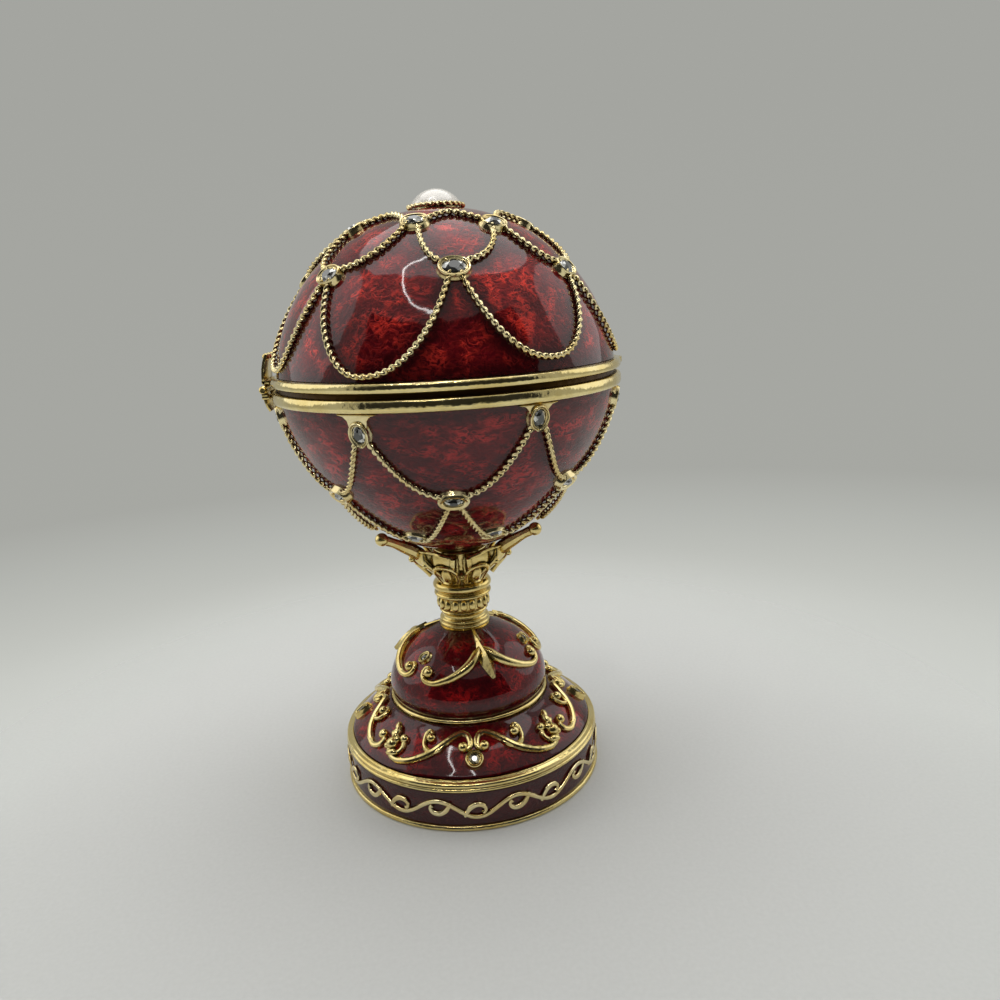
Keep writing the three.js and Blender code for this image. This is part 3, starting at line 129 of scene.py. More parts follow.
SURFACES = {
    "bun": BUN.radius_at,
    "lid": LID.radius_at,
    "bowl": BOWL.radius_at,
    "flange": flange_radius,
    "band": lambda z: BAND_RADIUS,
}

# %% [markdown]
# ## Frames on a surface
# A goldsmith turns the piece in the hand and works square to its skin. The same is done here: a frame
# holds the direction round the axis, the direction up the slope and the outward normal at a point, so
# an ornament is drawn flat and set down by one matrix.

# %% Frames on a surface
def polar(radius, azimuth, z):
    a = math.radians(azimuth)
    return Vector((radius * math.sin(a), -radius * math.cos(a), z))


def frame_on(surface, azimuth, z, lift=0.0, turn=0.0):
    radius_of = SURFACES[surface]
    slope = (radius_of(z + 0.05) - radius_of(z - 0.05)) / 0.1
    a = math.radians(azimuth)
    around = Vector((math.cos(a), math.sin(a), 0))
    up = (polar(slope, azimuth, 1)).normalized()
    out = around.cross(up).normalized()
    place = Matrix.Translation(polar(radius_of(z), azimuth, z) + out * lift)
    basis = Matrix((around, up, out)).transposed().to_4x4()
    return place @ basis @ Matrix.Rotation(math.radians(turn), 4, "Z")


def point_on(surface, azimuth, z, lift=0.0):
    return frame_on(surface, azimuth, z, lift).translation


print("front of the lid", [round(v, 2) for v in point_on("lid", 0, LID.plane + 17.3)])

# %% [markdown]
# ## Turned forms
# Most of the box is turned, so its pieces start as one outline that is spun round the axis. The spin
# closes on itself with use_merge, doubles on the axis are merged, and a bevel softens the arrises as
# polishing does. Sharp outlines would reflect like folded sheet. A flat outline becomes a plate by
# pushing its one face out.

# %% Spin an outline, soften its arrises
def spun(outline, steps=128, soften=0.0):
    """Turns an outline of (radius, height) pairs round the upright axis, and closes it."""
    bm = bmesh.new()
    verts = [bm.verts.new((max(0.0, r), 0, z)) for r, z in outline]
    edges = [bm.edges.new(pair) for pair in zip(verts, verts[1:])]
    if not (outline[0][0] <= 0 and outline[-1][0] <= 0):
        edges.append(bm.edges.new((verts[-1], verts[0])))
    bmesh.ops.spin(bm, geom=verts + edges, cent=(0, 0, 0), axis=(0, 0, 1),
                   angle=2 * math.pi, steps=steps, use_merge=True, use_duplicate=False)
    bmesh.ops.remove_doubles(bm, verts=bm.verts, dist=0.0005)
    bmesh.ops.recalc_face_normals(bm, faces=bm.faces)
    if soften:
        soften_arrises(bm, soften)
    return bm


def soften_arrises(bm, width, segments=2, angle=28):
    sharp = [e for e in bm.edges if len(e.link_faces) == 2 and e.calc_face_angle(0.0) > math.radians(angle)]
    bmesh.ops.bevel(bm, geom=sharp, offset=width, offset_type="OFFSET", segments=segments,
                    profile=0.5, affect="EDGES", clamp_overlap=True, material=-1)


def push_faces(bm, faces, step):
    """Moves a copy of some faces along a step, and walls the way between."""
    grown = bmesh.ops.extrude_face_region(bm, geom=faces)
    moved = [v for v in grown["geom"] if isinstance(v, bmesh.types.BMVert)]
    bmesh.ops.translate(bm, vec=step, verts=moved)


def add_block(bm, outline, step):
    """Adds a block, which is a flat outline pushed along a step."""
    push_faces(bm, [bm.faces.new([bm.verts.new(point) for point in outline])], step)


def eased(points, per=6):
    """Runs a smooth curve through the points of an outline or a route."""
    points = [Vector(p) for p in points]
    out = []
    for i in range(len(points) - 1):
        a, b = points[max(0, i - 1)], points[i]
        c, d = points[i + 1], points[min(len(points) - 1, i + 2)]
        for k in range(per):
            t = k / per
            out.append(0.5 * (2 * b + (c - a) * t + (2 * a - 5 * b + 4 * c - d) * t ** 2
                              + (3 * b - 3 * c + d - a) * t ** 3))
    return out + [points[-1]]


# %% [markdown]
# ## Wire forms
# Scrolls, stalks and prongs are wires that swell and taper. Each is a Bezier curve with a radius at
# every point; Blender sweeps a round section along it and the result is taken over as a mesh. Ropes
# need a section with two lobes that turns as it goes, so their points carry a tilt instead.

# %% Sweep wires along routes
def swept(curve):
    holder = bpy.data.objects.new("route", curve)
    bpy.context.scene.collection.objects.link(holder)
    bpy.context.view_layer.update()
    mesh = bpy.data.meshes.new_from_object(holder.evaluated_get(bpy.context.evaluated_depsgraph_get()))
    bpy.data.objects.remove(holder)
    bpy.data.curves.remove(curve)
    return mesh


def pour(bm, mesh, matrix=None):
    """Adds a loose mesh to a piece, set down by a matrix."""
    if matrix is not None:
        mesh.transform(matrix)
    bm.from_mesh(mesh)
    bpy.data.meshes.remove(mesh)


def join_in(bm, part, matrix=None):
    """Adds a part made in a mesh of its own to a piece."""
    mesh = bpy.data.meshes.new("part")
    part.to_mesh(mesh)
    part.free()
    pour(bm, mesh, matrix)


def wires(bm, routes, detail=3, steps=8):
    """Each route is a list of (point, radius)."""
    curve = bpy.data.curves.new("route", "CURVE")
    curve.dimensions, curve.use_fill_caps = "3D", True
    curve.bevel_depth, curve.bevel_resolution, curve.resolution_u = 1.0, detail, steps
    for route in routes:
        spline = curve.splines.new("BEZIER")
        spline.bezier_points.add(len(route) - 1)
        for knot, (point, radius) in zip(spline.bezier_points, route):
            knot.co, knot.radius = point, radius
            knot.handle_left_type = knot.handle_right_type = "AUTO"
        spline.radius_interpolation = "CARDINAL"
    pour(bm, swept(curve))


def ball(bm, point, radius, sides=20):
    bmesh.ops.create_uvsphere(bm, u_segments=sides, v_segments=sides // 2 + 2, radius=radius,
                              matrix=Matrix.Translation(point))


def lobe(bm, place, length, width, height, sides=16):
    """A rounded leaf lobe that grows from the frame's origin along its second direction."""
    shape = Matrix.Translation((0, length / 2, 0)) @ Matrix.Diagonal((width / 2, length / 2, height / 2, 1))
    bmesh.ops.create_uvsphere(bm, u_segments=sides, v_segments=10, radius=1.0, matrix=place @ shape)


# %% [markdown]
# ## Finishing a piece
# Every mesh is closed here in the same way: doubles merged, faces turned outwards, scaled to metres
# and shaded smooth with its arrises kept. Then it gets its material, rides on its body, and stands
# for its solids.

# %% Finish a piece
made = []


def finish_piece(name, bm, body, material, stands_for=(), crease=35, flat=False):
    bmesh.ops.remove_doubles(bm, verts=bm.verts, dist=0.0003)
    bmesh.ops.recalc_face_normals(bm, faces=bm.faces)
    bmesh.ops.scale(bm, vec=(MM, MM, MM), verts=bm.verts)
    mesh = bpy.data.meshes.new(name)
    bm.to_mesh(mesh)
    bm.free()
    if not flat:
        mesh.shade_smooth()
        mesh.set_sharp_from_angle(angle=math.radians(crease))
    mesh.materials.append(material)
    piece = bpy.data.objects.new(name, mesh)
    bpy.context.scene.collection.objects.link(piece)
    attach(piece, body)
    if stands_for:
        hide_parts(*stands_for)
    made.append((name, len(mesh.polygons)))
    return piece


# %% [markdown]
# ## Shader arithmetic
# A material is a small sum over the surface, so it is written as one. The class below wraps a socket
# and lets Python's operators add Math nodes; colours go through Mix nodes, because a Math node would
# turn them grey.

# %% Socket class
class Wave:
    """A number that varies over a surface: one socket of a material's nodes."""

    def __init__(self, recipe, socket):
        self.recipe, self.socket = recipe, socket

    def math(self, operation, first, second=None, clamp=False):
        sockets = {0: first} if second is None else {0: first, 1: second}
        return self.recipe.node("ShaderNodeMath", {"operation": operation, "use_clamp": clamp}, sockets)

    def __add__(self, other):
        return self.math("ADD", self, other)

    __radd__ = __add__

    def __sub__(self, other):
        return self.math("SUBTRACT", self, other)

    def __rsub__(self, other):
        return self.math("SUBTRACT", other, self)

    def __mul__(self, other):
        return self.math("MULTIPLY", self, other)

    __rmul__ = __mul__

    def limited(self):
        return self.math("ADD", self, 0.0, clamp=True)

    def size(self):
        return self.math("ABSOLUTE", self)


class Recipe:
    """The nodes of one material, or of the studio's backdrop."""

    def __init__(self, name, owner=None):
        self.material = owner or bpy.data.materials.new(name)
        self.material.use_nodes = True
        self.tree = self.material.node_tree
        self.tree.nodes.clear()
        self.end = self.tree.nodes.new("ShaderNodeOutputWorld" if owner else "ShaderNodeOutputMaterial")

    def node(self, kind, settings=None, sockets=None, output=0):
        made_node = self.tree.nodes.new(kind)
        for key, value in (settings or {}).items():
            setattr(made_node, key, value)
        for key, value in (sockets or {}).items():
            if isinstance(value, Wave):
                self.tree.links.new(value.socket, made_node.inputs[key])
            else:
                made_node.inputs[key].default_value = value
        return Wave(self, made_node.outputs[output])

    def place(self, scale=(1, 1, 1)):
        coords = self.node("ShaderNodeTexCoord", output="Object")
        return self.node("ShaderNodeMapping", {}, {"Vector": coords, "Scale": scale})

    def noise(self, scale, detail=3.0, roughness=0.5, where=None, distortion=0.0):
        sockets = {"Vector": where or self.place(), "Scale": scale, "Detail": detail,
                   "Roughness": roughness, "Distortion": distortion}
        return self.node("ShaderNodeTexNoise", {}, sockets, "Fac")

    def ramp(self, value, stops):
        ramp_wave = self.node("ShaderNodeValToRGB", {}, {"Fac": value}, "Color")
        elements = ramp_wave.socket.node.color_ramp.elements
        elements[0].position, elements[0].color = stops[0][0], (*stops[0][1], 1)
        elements[1].position, elements[1].color = stops[-1][0], (*stops[-1][1], 1)
        for position, colour in stops[1:-1]:
            elements.new(position).color = (*colour, 1)
        return ramp_wave

    def span(self, value, low, high, out_low=0.0, out_high=1.0):
        return self.node("ShaderNodeMapRange", {"interpolation_type": "SMOOTHSTEP"},
                         {"Value": value, "From Min": low, "From Max": high, "To Min": out_low,
                          "To Max": out_high}, "Result")

    def mixed(self, factor, first, second):
        rgba = [(*c, 1) if isinstance(c, tuple) else c for c in (first, second)]
        return self.node("ShaderNodeMix", {"data_type": "RGBA"}, {0: factor, 6: rgba[0], 7: rgba[1]}, 2)

    def bump(self, height, distance, strength=1.0):
        return self.node("ShaderNodeBump", {}, {"Height": height, "Distance": distance,
                                                "Strength": strength}, "Normal")

    def surface(self, **sockets):
        named = {key.replace("_", " "): value for key, value in sockets.items()}
        shader = self.node("ShaderNodeBsdfPrincipled", {}, named)
        self.tree.links.new(shader.socket, self.end.inputs["Surface"])
        return self.material


# %% [markdown]
# ## Gold
# The castings are plated with a pale, polished gold. Plating copies the small ripples of the casting
# under it, and it looks warmer where it is thin. So the colour wanders slightly, the roughness
# follows, and one bump joins the soft hammering with the fine orange-peel of cast metal. Dark brown
# is painted into the crevices that an Ambient Occlusion node finds: painted shade, together with the
# old polish that stays there. The seam between the rims is painted dark brown too, as painted shade.

# %% Polished and satin gold
# Dark brown painted into crevices and the rim seam: painted shade, with the old polish of the crevices.
SHADE_AND_OLD_POLISH = (0.060, 0.030, 0.006)


def gold_finish(name, light, deep, roughness, ripple, seam=False):
    gold = Recipe(name)
    drift = gold.noise(160, 4.0, 0.6)
    grain = gold.noise(1500, 3.0, 0.55)
    plate = gold.mixed(gold.span(drift, 0.35, 0.7), (*light,), (*deep,))
    # Painted shade: the Ambient Occlusion node darkens the crevices to dark brown and makes them rougher.
    hollow = gold.node("ShaderNodeAmbientOcclusion", {"samples": 5, "only_local": True},
                       {"Distance": 0.0009}, "AO")
    lit_and_clean = gold.span(hollow, 0.25, 0.80)
    # Painted shade in the seam: a mask by radius and height darkens the seat of the bowl's rim under the
    # lid's rim.
    if seam:
        where = gold.place()
        height = gold.node("ShaderNodeSeparateXYZ", {}, {0: where}, "Z")
        flat = gold.node("ShaderNodeVectorMath", {"operation": "MULTIPLY"}, {0: where, 1: (1, 1, 0)})
        out = gold.node("ShaderNodeVectorMath", {"operation": "LENGTH"}, {0: flat}, "Value")
        seam_shade = gold.span(out, 0.03020, 0.03040, 1.0, 0.0) * gold.span(height, 0.07598, 0.07606)
        lit_and_clean = lit_and_clean * (1 - seam_shade * gold.span(height, 0.07692, 0.07702, 1.0, 0.0))
    colour = gold.mixed(lit_and_clean, SHADE_AND_OLD_POLISH, plate)
    soft = gold.noise(420, 2.0, 0.5)
    height = soft * 0.8 + grain * 0.2
    matt = gold.span(grain + drift * 0.5, 0.5, 1.1, roughness * 0.7, roughness * 1.5)
    return gold.surface(Base_Color=colour, Metallic=1.0, Roughness=matt + (1 - lit_and_clean) * 0.3,
                        Normal=gold.bump(height, ripple, 1.0))


polished_gold = gold_finish("polished_gold", (0.90, 0.74, 0.34), (0.76, 0.57, 0.20), 0.16, 0.00016)
# The rims' gold carries the painted shade of the seam between them.
rim_gold = gold_finish("rim_gold", (0.90, 0.76, 0.38), (0.76, 0.60, 0.24), 0.14, 0.00020, True)
rope_gold = gold_finish("rope_gold", (0.93, 0.80, 0.46), (0.76, 0.58, 0.25), 0.17, 0.00008)
satin_gold = gold_finish("satin_gold", (0.72, 0.54, 0.22), (0.58, 0.41, 0.14), 0.36, 0.00006)
print("gold finishes made")

# %% [markdown]
# ## Red enamel
# The enamel is a glass layer over a hammered, bright ground. Its colour is brightest in red flecks
# and veins in the middle of a cell, and nearly black within a millimetre or so of the gold: the glass
# thickens against the wires, and the dark is also painted shade beside the raised wires. A partly
# metallic base with a deep bump stands for the ground, a smooth clear coat for the glass, and an
# attribute that each piece measures from its ropes tells the middle from the edge. The veins are the
# places where a noise crosses its middle value.

# %% Enamel over a hammered ground
def enamel_finish(name, stretch, scale, bright, middle, dark, wash=0.0):
    enamel = Recipe(name)
    where = enamel.place(scale=stretch)
    large = enamel.noise(scale, 2.0, 0.5, where, 1.1)
    small = enamel.noise(scale * 2.2, 2.0, 0.5, where, 0.9)
    folds = enamel.span((large - 0.5).size(), 0.01, 0.10, 1.0, 0.0)
    crumbs = enamel.span((small - 0.5).size(), 0.0, 0.12, 1.0, 0.0)
    patches = enamel.span(enamel.noise(scale * 0.6, 2.0, 0.5, where), 0.42, 0.62)
    crackle = ((folds * 0.8 + crumbs * 0.5) * (patches * 0.85 + 0.15)).limited()
    clouds = enamel.noise(scale * 0.17, 3.0, 0.55, where)
    # The cell attribute darkens the colour near the wires: thicker glass there, and painted shade beside the
    # raised wires.
    open_part = enamel.node("ShaderNodeAttribute", {"attribute_name": "cell"}, {}, "Fac")
    bright_middle = (open_part * enamel.span(clouds, 0.36, 0.66, 0.25, 1.0)).limited()
    body = enamel.mixed(bright_middle, (*dark,), (*middle,))
    colour = enamel.mixed((crackle * (bright_middle * 0.9 + wash)).limited(), body, (*bright,))
    hammered = large * 0.5 + small * 0.5 + crackle * 0.35
    matt = enamel.span(small, 0.3, 0.7, 0.28, 0.42)
    return enamel.surface(Base_Color=colour, Metallic=0.35, Roughness=matt,
                          Normal=enamel.bump(hammered, 0.0006, 1.0), Coat_Weight=1.0,
                          Coat_Roughness=0.06, Coat_IOR=1.5, Specular_IOR_Level=0.0)


lid_enamel_finish = enamel_finish(
    "lid_enamel_red", (1, 1, 1.25), 500,
    (0.90, 0.050, 0.030), (0.15, 0.003, 0.008), (0.036, 0.001, 0.003), 0.10)
bowl_enamel_finish = enamel_finish(
    "bowl_enamel_red", (1, 1, 2.0), 400,
    (0.50, 0.030, 0.030), (0.10, 0.005, 0.009), (0.040, 0.003, 0.006), 0.35)
foot_enamel_finish = enamel_finish(
    "foot_enamel_red", (1, 1, 1.25), 540,
    (0.55, 0.014, 0.014), (0.10, 0.003, 0.006), (0.035, 0.001, 0.003), 0.08)
band_enamel_finish = enamel_finish(
    "band_enamel_red", (1, 1, 1.2), 700,
    (0.14, 0.008, 0.009), (0.07, 0.005, 0.007), (0.050, 0.004, 0.006), 0.15)
print("enamel finishes made")

# %% [markdown]
# ## Stones, pearl and steel
# The stones are foil-backed glass. Seen from any side some facets look into the dark and some into a
# lamp, so each facet carries a painted reflection as an attribute: a fixed shade from near black to
# white. The pearl is a glass bead under many thin lacquer coats: soft inside, glossy outside. The
# screw is plain turned steel.

# %% Stone, pearl and steel
# Painted reflections: the facet attribute picks a fixed shade from near black to white for each facet.
stone_recipe = Recipe("foiled_stone")
facet = stone_recipe.node("ShaderNodeAttribute", {"attribute_name": "facet"}, {}, "Fac")
stone_colour = stone_recipe.ramp(facet, [(0.0, (0.020, 0.020, 0.018)), (0.4, (0.12, 0.12, 0.115)),
                                         (0.6, (0.55, 0.56, 0.53)), (0.85, (0.97, 0.98, 0.95))])
stone_polish = stone_recipe.span(stone_recipe.noise(2200), 0.3, 0.7, 0.03, 0.09)
stone_finish = stone_recipe.surface(Base_Color=stone_colour, Metallic=0.5, Roughness=stone_polish,
                                    Coat_Weight=1.0, Coat_Roughness=0.02, Coat_IOR=1.6)

pearl_recipe = Recipe("pearl_lacquer")
clouding = pearl_recipe.noise(260, 3.0, 0.5)
pearl_colour = pearl_recipe.mixed(clouding, (0.90, 0.84, 0.74), (0.95, 0.92, 0.86))
pearl_finish = pearl_recipe.surface(Base_Color=pearl_colour, Metallic=0.12,
                                    Roughness=pearl_recipe.span(clouding, 0.3, 0.7, 0.24, 0.32),
                                    Coat_Weight=0.9, Coat_Roughness=0.10, Coat_IOR=1.6,
                                    Normal=pearl_recipe.bump(pearl_recipe.noise(1800, 2.0), 0.00001))

steel_recipe = Recipe("turned_steel")
lathe = steel_recipe.node("ShaderNodeTexWave", {"wave_type": "RINGS", "rings_direction": "Z"},
                          {"Vector": steel_recipe.place(), "Scale": 900.0, "Distortion": 1.5}, "Fac")
steel_colour = steel_recipe.mixed(lathe, (0.50, 0.51, 0.53), (0.62, 0.63, 0.65))
steel_finish = steel_recipe.surface(Base_Color=steel_colour, Metallic=1.0,
                                    Roughness=steel_recipe.span(lathe, 0.2, 0.8, 0.26, 0.40),
                                    Normal=steel_recipe.bump(lathe, 0.00002))
print("stone, pearl and steel made")

# %% [markdown]
# ## Foot casting
# The casting carries everything, and its gold shows as the plain ring on the table, the double edge
# ring, and the thin waist ring; the beds between them hold the enamel. It is hollow underneath, with
# a flat roof where the screw's washer bears. One closed outline is spun, and the two beads of the
# edge ring are drawn as small arcs so that each catches its own highlight.

# %% Foot casting
def bead(centre_r, centre_z, radius, start, end, steps=7):
    return [(centre_r + radius * math.cos(math.radians(start + (end - start) * i / steps)),
             centre_z + radius * math.sin(math.radians(start + (end - start) * i / steps)))
            for i in range(steps + 1)]


BED = ENAMEL + SKIN_GAP
HOLLOW_RADIUS, ROOF_RADIUS = 22.3, 12.46
outline = [(HOLLOW_RADIUS, 0), (FOOT_RADIUS - 0.3, 0), (FOOT_RADIUS - 0.05, 0.2), (FOOT_RADIUS, 0.5),
           (FOOT_RADIUS - 0.15, 0.85), (FOOT_RADIUS - 0.4, RING_TOP), (BED_RADIUS, RING_TOP),
           (BED_RADIUS, BAND_TOP)]
outline += bead(24.45, 7.76, 0.34, -80, 80, 6)
outline += bead(24.2, 8.55, 0.5, -60, 75)
outline += [(23.85, 9.12), (23.8, 9.26), (23.5, EDGE_TOP), (22.9, EDGE_TOP - 0.3)]
outline += [flange_point(i / 12, BED) for i in range(1, 13)]
outline += bead(WAIST_RADIUS, WAIST_Z, WAIST_BEAD, -40, 90)
outline += [(BUN.radius - 0.5 - BED, SKIRT_Z)]
outline += BUN.profile(0, BUN_TOP_RADIUS, BED, 20)
outline += [(BUN_TOP_RADIUS - SKIN_GAP, BUN_TOP), (BORE, BUN_TOP), (BORE, BUN_TOP - BUN_SEAT),
            (BUN_TOP_RADIUS, BUN_TOP - BUN_SEAT)]
outline += [(ROOF_RADIUS, BUN.plane), (ROOF_RADIUS, 14.0), flange_point(0.45, BED + 1.5),
            (HOLLOW_RADIUS, BAND_TOP - 0.75)]
foot = spun(outline, 160, 0.08)
finish_piece("foot_cast_body", foot, "stand", polished_gold, ["foot_casting"])
print(made[-1])

# %% [markdown]
# ## Enamel skins
# A skin is a thin shell of its own, so its edge shows as a dark line against the gold. It is spun
# from the outer outline and the bed. Its mesh is fine enough to carry the "cell" attribute: 1 in the
# open, 0 within a millimetre or so of a gold wire, where the colour goes dark for the thicker glass
# that runs up the wire and as painted shade beside it. The same distance lifts the skin a tenth of a
# millimetre at the wires, and a slow noise leaves it unlevel.

# %% Skin helper
CREEP_WIDTH = 1.5


def mark_open_part(piece, wire_points, reach, floor=0.0, start=0.5, creep=0.16, wave=0.05):
    """Writes the cell attribute from the distance to the nearest wire point, in millimetres. The
    molten glass also creeps up the wires and never sets quite level in between."""
    tree = kdtree.KDTree(len(wire_points))
    for i, point in enumerate(wire_points):
        tree.insert(point, i)
    tree.balance()
    attribute = piece.data.attributes.new("cell", "FLOAT", "POINT")
    normals = [vertex.normal.copy() for vertex in piece.data.vertices]
    for i, vertex in enumerate(piece.data.vertices):
        place = vertex.co / MM
        distance = tree.find(place)[2]
        share = min(1.0, max(0.0, (distance - start) / reach))
        attribute.data[i].value = floor + (1 - floor) * share * share * (3 - 2 * share)
        near = max(0.0, 1 - distance / CREEP_WIDTH)
        unlevel = noise.noise(place * 0.22) + 0.32 * noise.noise(place * 0.62)
        swell = creep * near * near + wave * (0.3 + 0.7 * share) * unlevel
        vertex.co += normals[i] * swell * MM


def ring_points(radius, z, count=120):
    return [polar(radius, 360 * i / count, z) for i in range(count)]


# %% Skins of the foot
band_low = RING_TOP + 0.1
band_face = [(BAND_RADIUS, band_low + (BAND_TOP - 0.1 - band_low) * i / 12) for i in range(13)]
band_back = BED_RADIUS + SKIN_GAP
band_skin = spun([(band_back, band_low)] + band_face + [(band_back, BAND_TOP - 0.1)], 240, 0.1)
band_piece = finish_piece("foot_band_glaze", band_skin, "stand", band_enamel_finish, ["foot_band_enamel"])
mark_open_part(band_piece, ring_points(24.6, 0.9) + ring_points(24.6, 7.4), 2.0, 0.1, 0.5, 0.1, 0.03)

top = [flange_point(0.02 + 0.96 * i / 24) for i in range(25)]
under = [flange_point(0.98 - 0.94 * i / 12, ENAMEL) for i in range(13)]
flange_piece = finish_piece("foot_flange_glaze", spun(top + under, 200, 0.06), "stand", foot_enamel_finish,
                            ["foot_flange_enamel"])
mark_open_part(flange_piece, ring_points(23.5, EDGE_TOP) + ring_points(15.4, 15.0), 2.2, 0.12)

skirt = [(BUN.radius - 0.5, SKIRT_Z + 0.14), (BUN.radius - 0.12, 17.0)]
outer = BUN.profile(0, BUN_TOP_RADIUS, 0, 32)
inner = BUN.profile(0, BUN_TOP_RADIUS, ENAMEL, 16)[::-1]
bun_skin = spun(skirt + outer + inner + [(BUN.radius - 0.5 - ENAMEL, SKIRT_Z + 0.14)], 200, 0.06)
bun_piece = finish_piece("bun_glaze", bun_skin, "stand", foot_enamel_finish, ["bun_enamel"])
mark_open_part(bun_piece, ring_points(15.0, 16.0) + ring_points(5.2, BUN_TOP, 40), 3.6, 0.1)
print(made[-3:])

# %% [markdown]
# ## Running vine
# A flat gilt ribbon waves round the band, with a curl under each crest and over each trough. Wires
# swept in the band's own plane and pressed flat make it; drawing it unrolled and wrapping it round
# afterwards keeps every curl alike.

# %% Vine on the band
VINE_COUNT, SWING, VINE_MIDDLE, VINE_STOPS = 11, 1.5, 4.25, 16
VINE_LIFT, VINE_FLATTENED = 0.28, 0.62
PITCH = 2 * math.pi * BAND_RADIUS / VINE_COUNT
VINE_CURL = [(-2.3, -0.3, 0.26), (-1.8, 0.75, 0.40), (-1.0, 1.6, 0.46), (0.1, 1.95, 0.44),
             (1.1, 1.55, 0.38), (1.35, 0.8, 0.30), (0.9, 0.35, 0.42)]

vine = bmesh.new()
stem = [((x * PITCH / VINE_STOPS, -SWING * math.cos(2 * math.pi * x / VINE_STOPS), 0), 0.36)
        for x in range(VINE_STOPS * VINE_COUNT + 1)]
curls = []
for i in range(VINE_COUNT):
    for side, x0 in ((1, i * PITCH), (-1, (i + 0.5) * PITCH)):
        curls.append([((x0 + side * x, side * (y - SWING + 0.45), 0), r) for x, y, r in VINE_CURL])
wires(vine, [stem] + curls, 3, 4)
for vert in vine.verts:
    along, rise, out = vert.co
    radius = BAND_RADIUS + VINE_LIFT + max(-0.3, VINE_FLATTENED * out)
    vert.co = polar(radius, math.degrees(along / BAND_RADIUS), VINE_MIDDLE + rise)
finish_piece("foot_vine_ribbon", vine, "stand", rope_gold, ["foot_band_vine"])
print(made[-1])

# %% [markdown]
# ## Settings and stones
# A bezel is a collar with a rounded outer lip, a fine groove and an inner lip that holds the stone.
# One ring is spun, and its points are moved so that a circle becomes an oval while the wall keeps its
# width. The stone has a table, two rows of crown facets and a girdle, bridged from four loops.

# %% Bezel and stone
LIP = [(0.22, -0.35), (0.16, 0.0), (0.03, 0.2), (0.0, 0.55), (-0.04, 0.78), (-0.14, 0.88),
       (-0.27, 0.84), (-0.35, 0.66), (-0.42, 0.60), (-0.50, 0.68), (-0.58, 0.66), (-0.63, 0.5),
       (-0.64, 0.15), (-0.64, -0.35)]
# Fixed facet shades from dark to white: painted reflections of the dark and the lamps.
FACET_PAINTED_REFLECTIONS = (0.12, 0.95, 0.30, 0.05, 0.70, 0.18, 0.85, 0.42, 0.08)


def bezel(bm, place, half_width, half_height, lip=LIP, steps=40, octagon=0.0):
    drawn = 10
    ring = spun([(drawn + x, z) for x, z in lip], steps)
    for vert in ring.verts:
        angle = math.atan2(vert.co.y, vert.co.x)
        off = math.hypot(vert.co.x, vert.co.y) - drawn
        square = 1 + octagon * abs(math.sin(2 * angle)) ** 2
        vert.co.x = math.cos(angle) * (half_width * square + off)
        vert.co.y = math.sin(angle) * (half_height * square + off)
    join_in(bm, ring, place)


def crystal(place, half_width, half_height, base=0.3, top=1.05):
    """Returns a cut stone with its girdle, two rows of crown facets and a table."""
    bm = bmesh.new()
    loops = []
    for radius, height, count, turn in ((0.98, base, 16, 0), (1.0, base + 0.18, 16, 0),
                                        (0.80, base + 0.55 * (top - base), 8, 22.5), (0.50, top, 8, 0)):
        shape = Matrix.Translation((0, 0, height)) @ Matrix.Rotation(math.radians(turn), 4, "Z")
        made_loop = bmesh.ops.create_circle(bm, segments=count, radius=radius,
                                            cap_ends=height in (base, top), matrix=shape)
        loops.append({e for v in made_loop["verts"] for e in v.link_edges})
    for low, high in zip(loops, loops[1:]):
        bmesh.ops.bridge_loops(bm, edges=list(low | high))
    bmesh.ops.transform(bm, matrix=place @ Matrix.Diagonal((half_width, half_height, 1, 1)), verts=bm.verts)
    return bm


def finish_stone(name, bm, body, stands_for=()):
    piece = finish_piece(name, bm, body, stone_finish, stands_for, flat=True)
    # Painted reflections: each face takes one fixed shade from the list.
    painted_reflections = piece.data.attributes.new("facet", "FLOAT", "FACE")
    for i in range(len(piece.data.polygons)):
        painted_reflections.data[i].value = FACET_PAINTED_REFLECTIONS[(i * 5 + i // 3) % len(FACET_PAINTED_REFLECTIONS)]


print("bezel lip", len(LIP), "points")

# %% [markdown]
# ## Flange ornament
# Four gilt casts lie on the sloping flange. Front and back have a round stone under two curls, long
# S-scrolls and a clutch of acanthus lobes; the sides have a longer drop between shorter scrolls. The
# routes are written as azimuth from the motif's middle and height above the edge ring.

# %% Scroll routes
def on_route(surface, base, route, mirror, offset, lift=0.3, stout=1.25):
    return [(point_on(surface, offset + mirror * az, base + rise, lift), radius * stout)
            for az, rise, radius in route]


LONG_SCROLL = [(4.4, 3.3, 0.40), (2.4, 3.5, 0.42), (2.0, 4.3, 0.42), (5.4, 4.9, 0.44), (10, 4.7, 0.48),
               (15.5, 4.0, 0.50), (21, 3.0, 0.52), (28, 2.0, 0.50), (35, 1.35, 0.46), (41, 1.3, 0.44),
               (45, 2.0, 0.5)]
TIE = [(43, 1.6, 0.4), (38.5, 2.4, 0.36), (39.5, 3.6, 0.4)]
MID_CURL = [(15, 4.0, 0.40), (19.5, 3.05, 0.42), (24.5, 3.1, 0.40), (27.5, 4.1, 0.36), (26.2, 4.95, 0.34),
            (23.4, 4.7, 0.30)]
SIDE_SCROLL = [(0, 4.7, 0.4), (-5, 5.2, 0.48), (-11, 4.7, 0.52), (-17, 3.6, 0.52), (-24, 2.4, 0.5),
               (-31, 1.65, 0.46), (-36, 1.7, 0.44), (-38.3, 2.5, 0.4), (-36, 3.2, 0.34)]
SIDE_CURL = [(-16, 3.8, 0.4), (-20, 3.6, 0.36), (-23.5, 4.4, 0.34), (-21, 5.1, 0.32), (-18.5, 4.8, 0.28)]
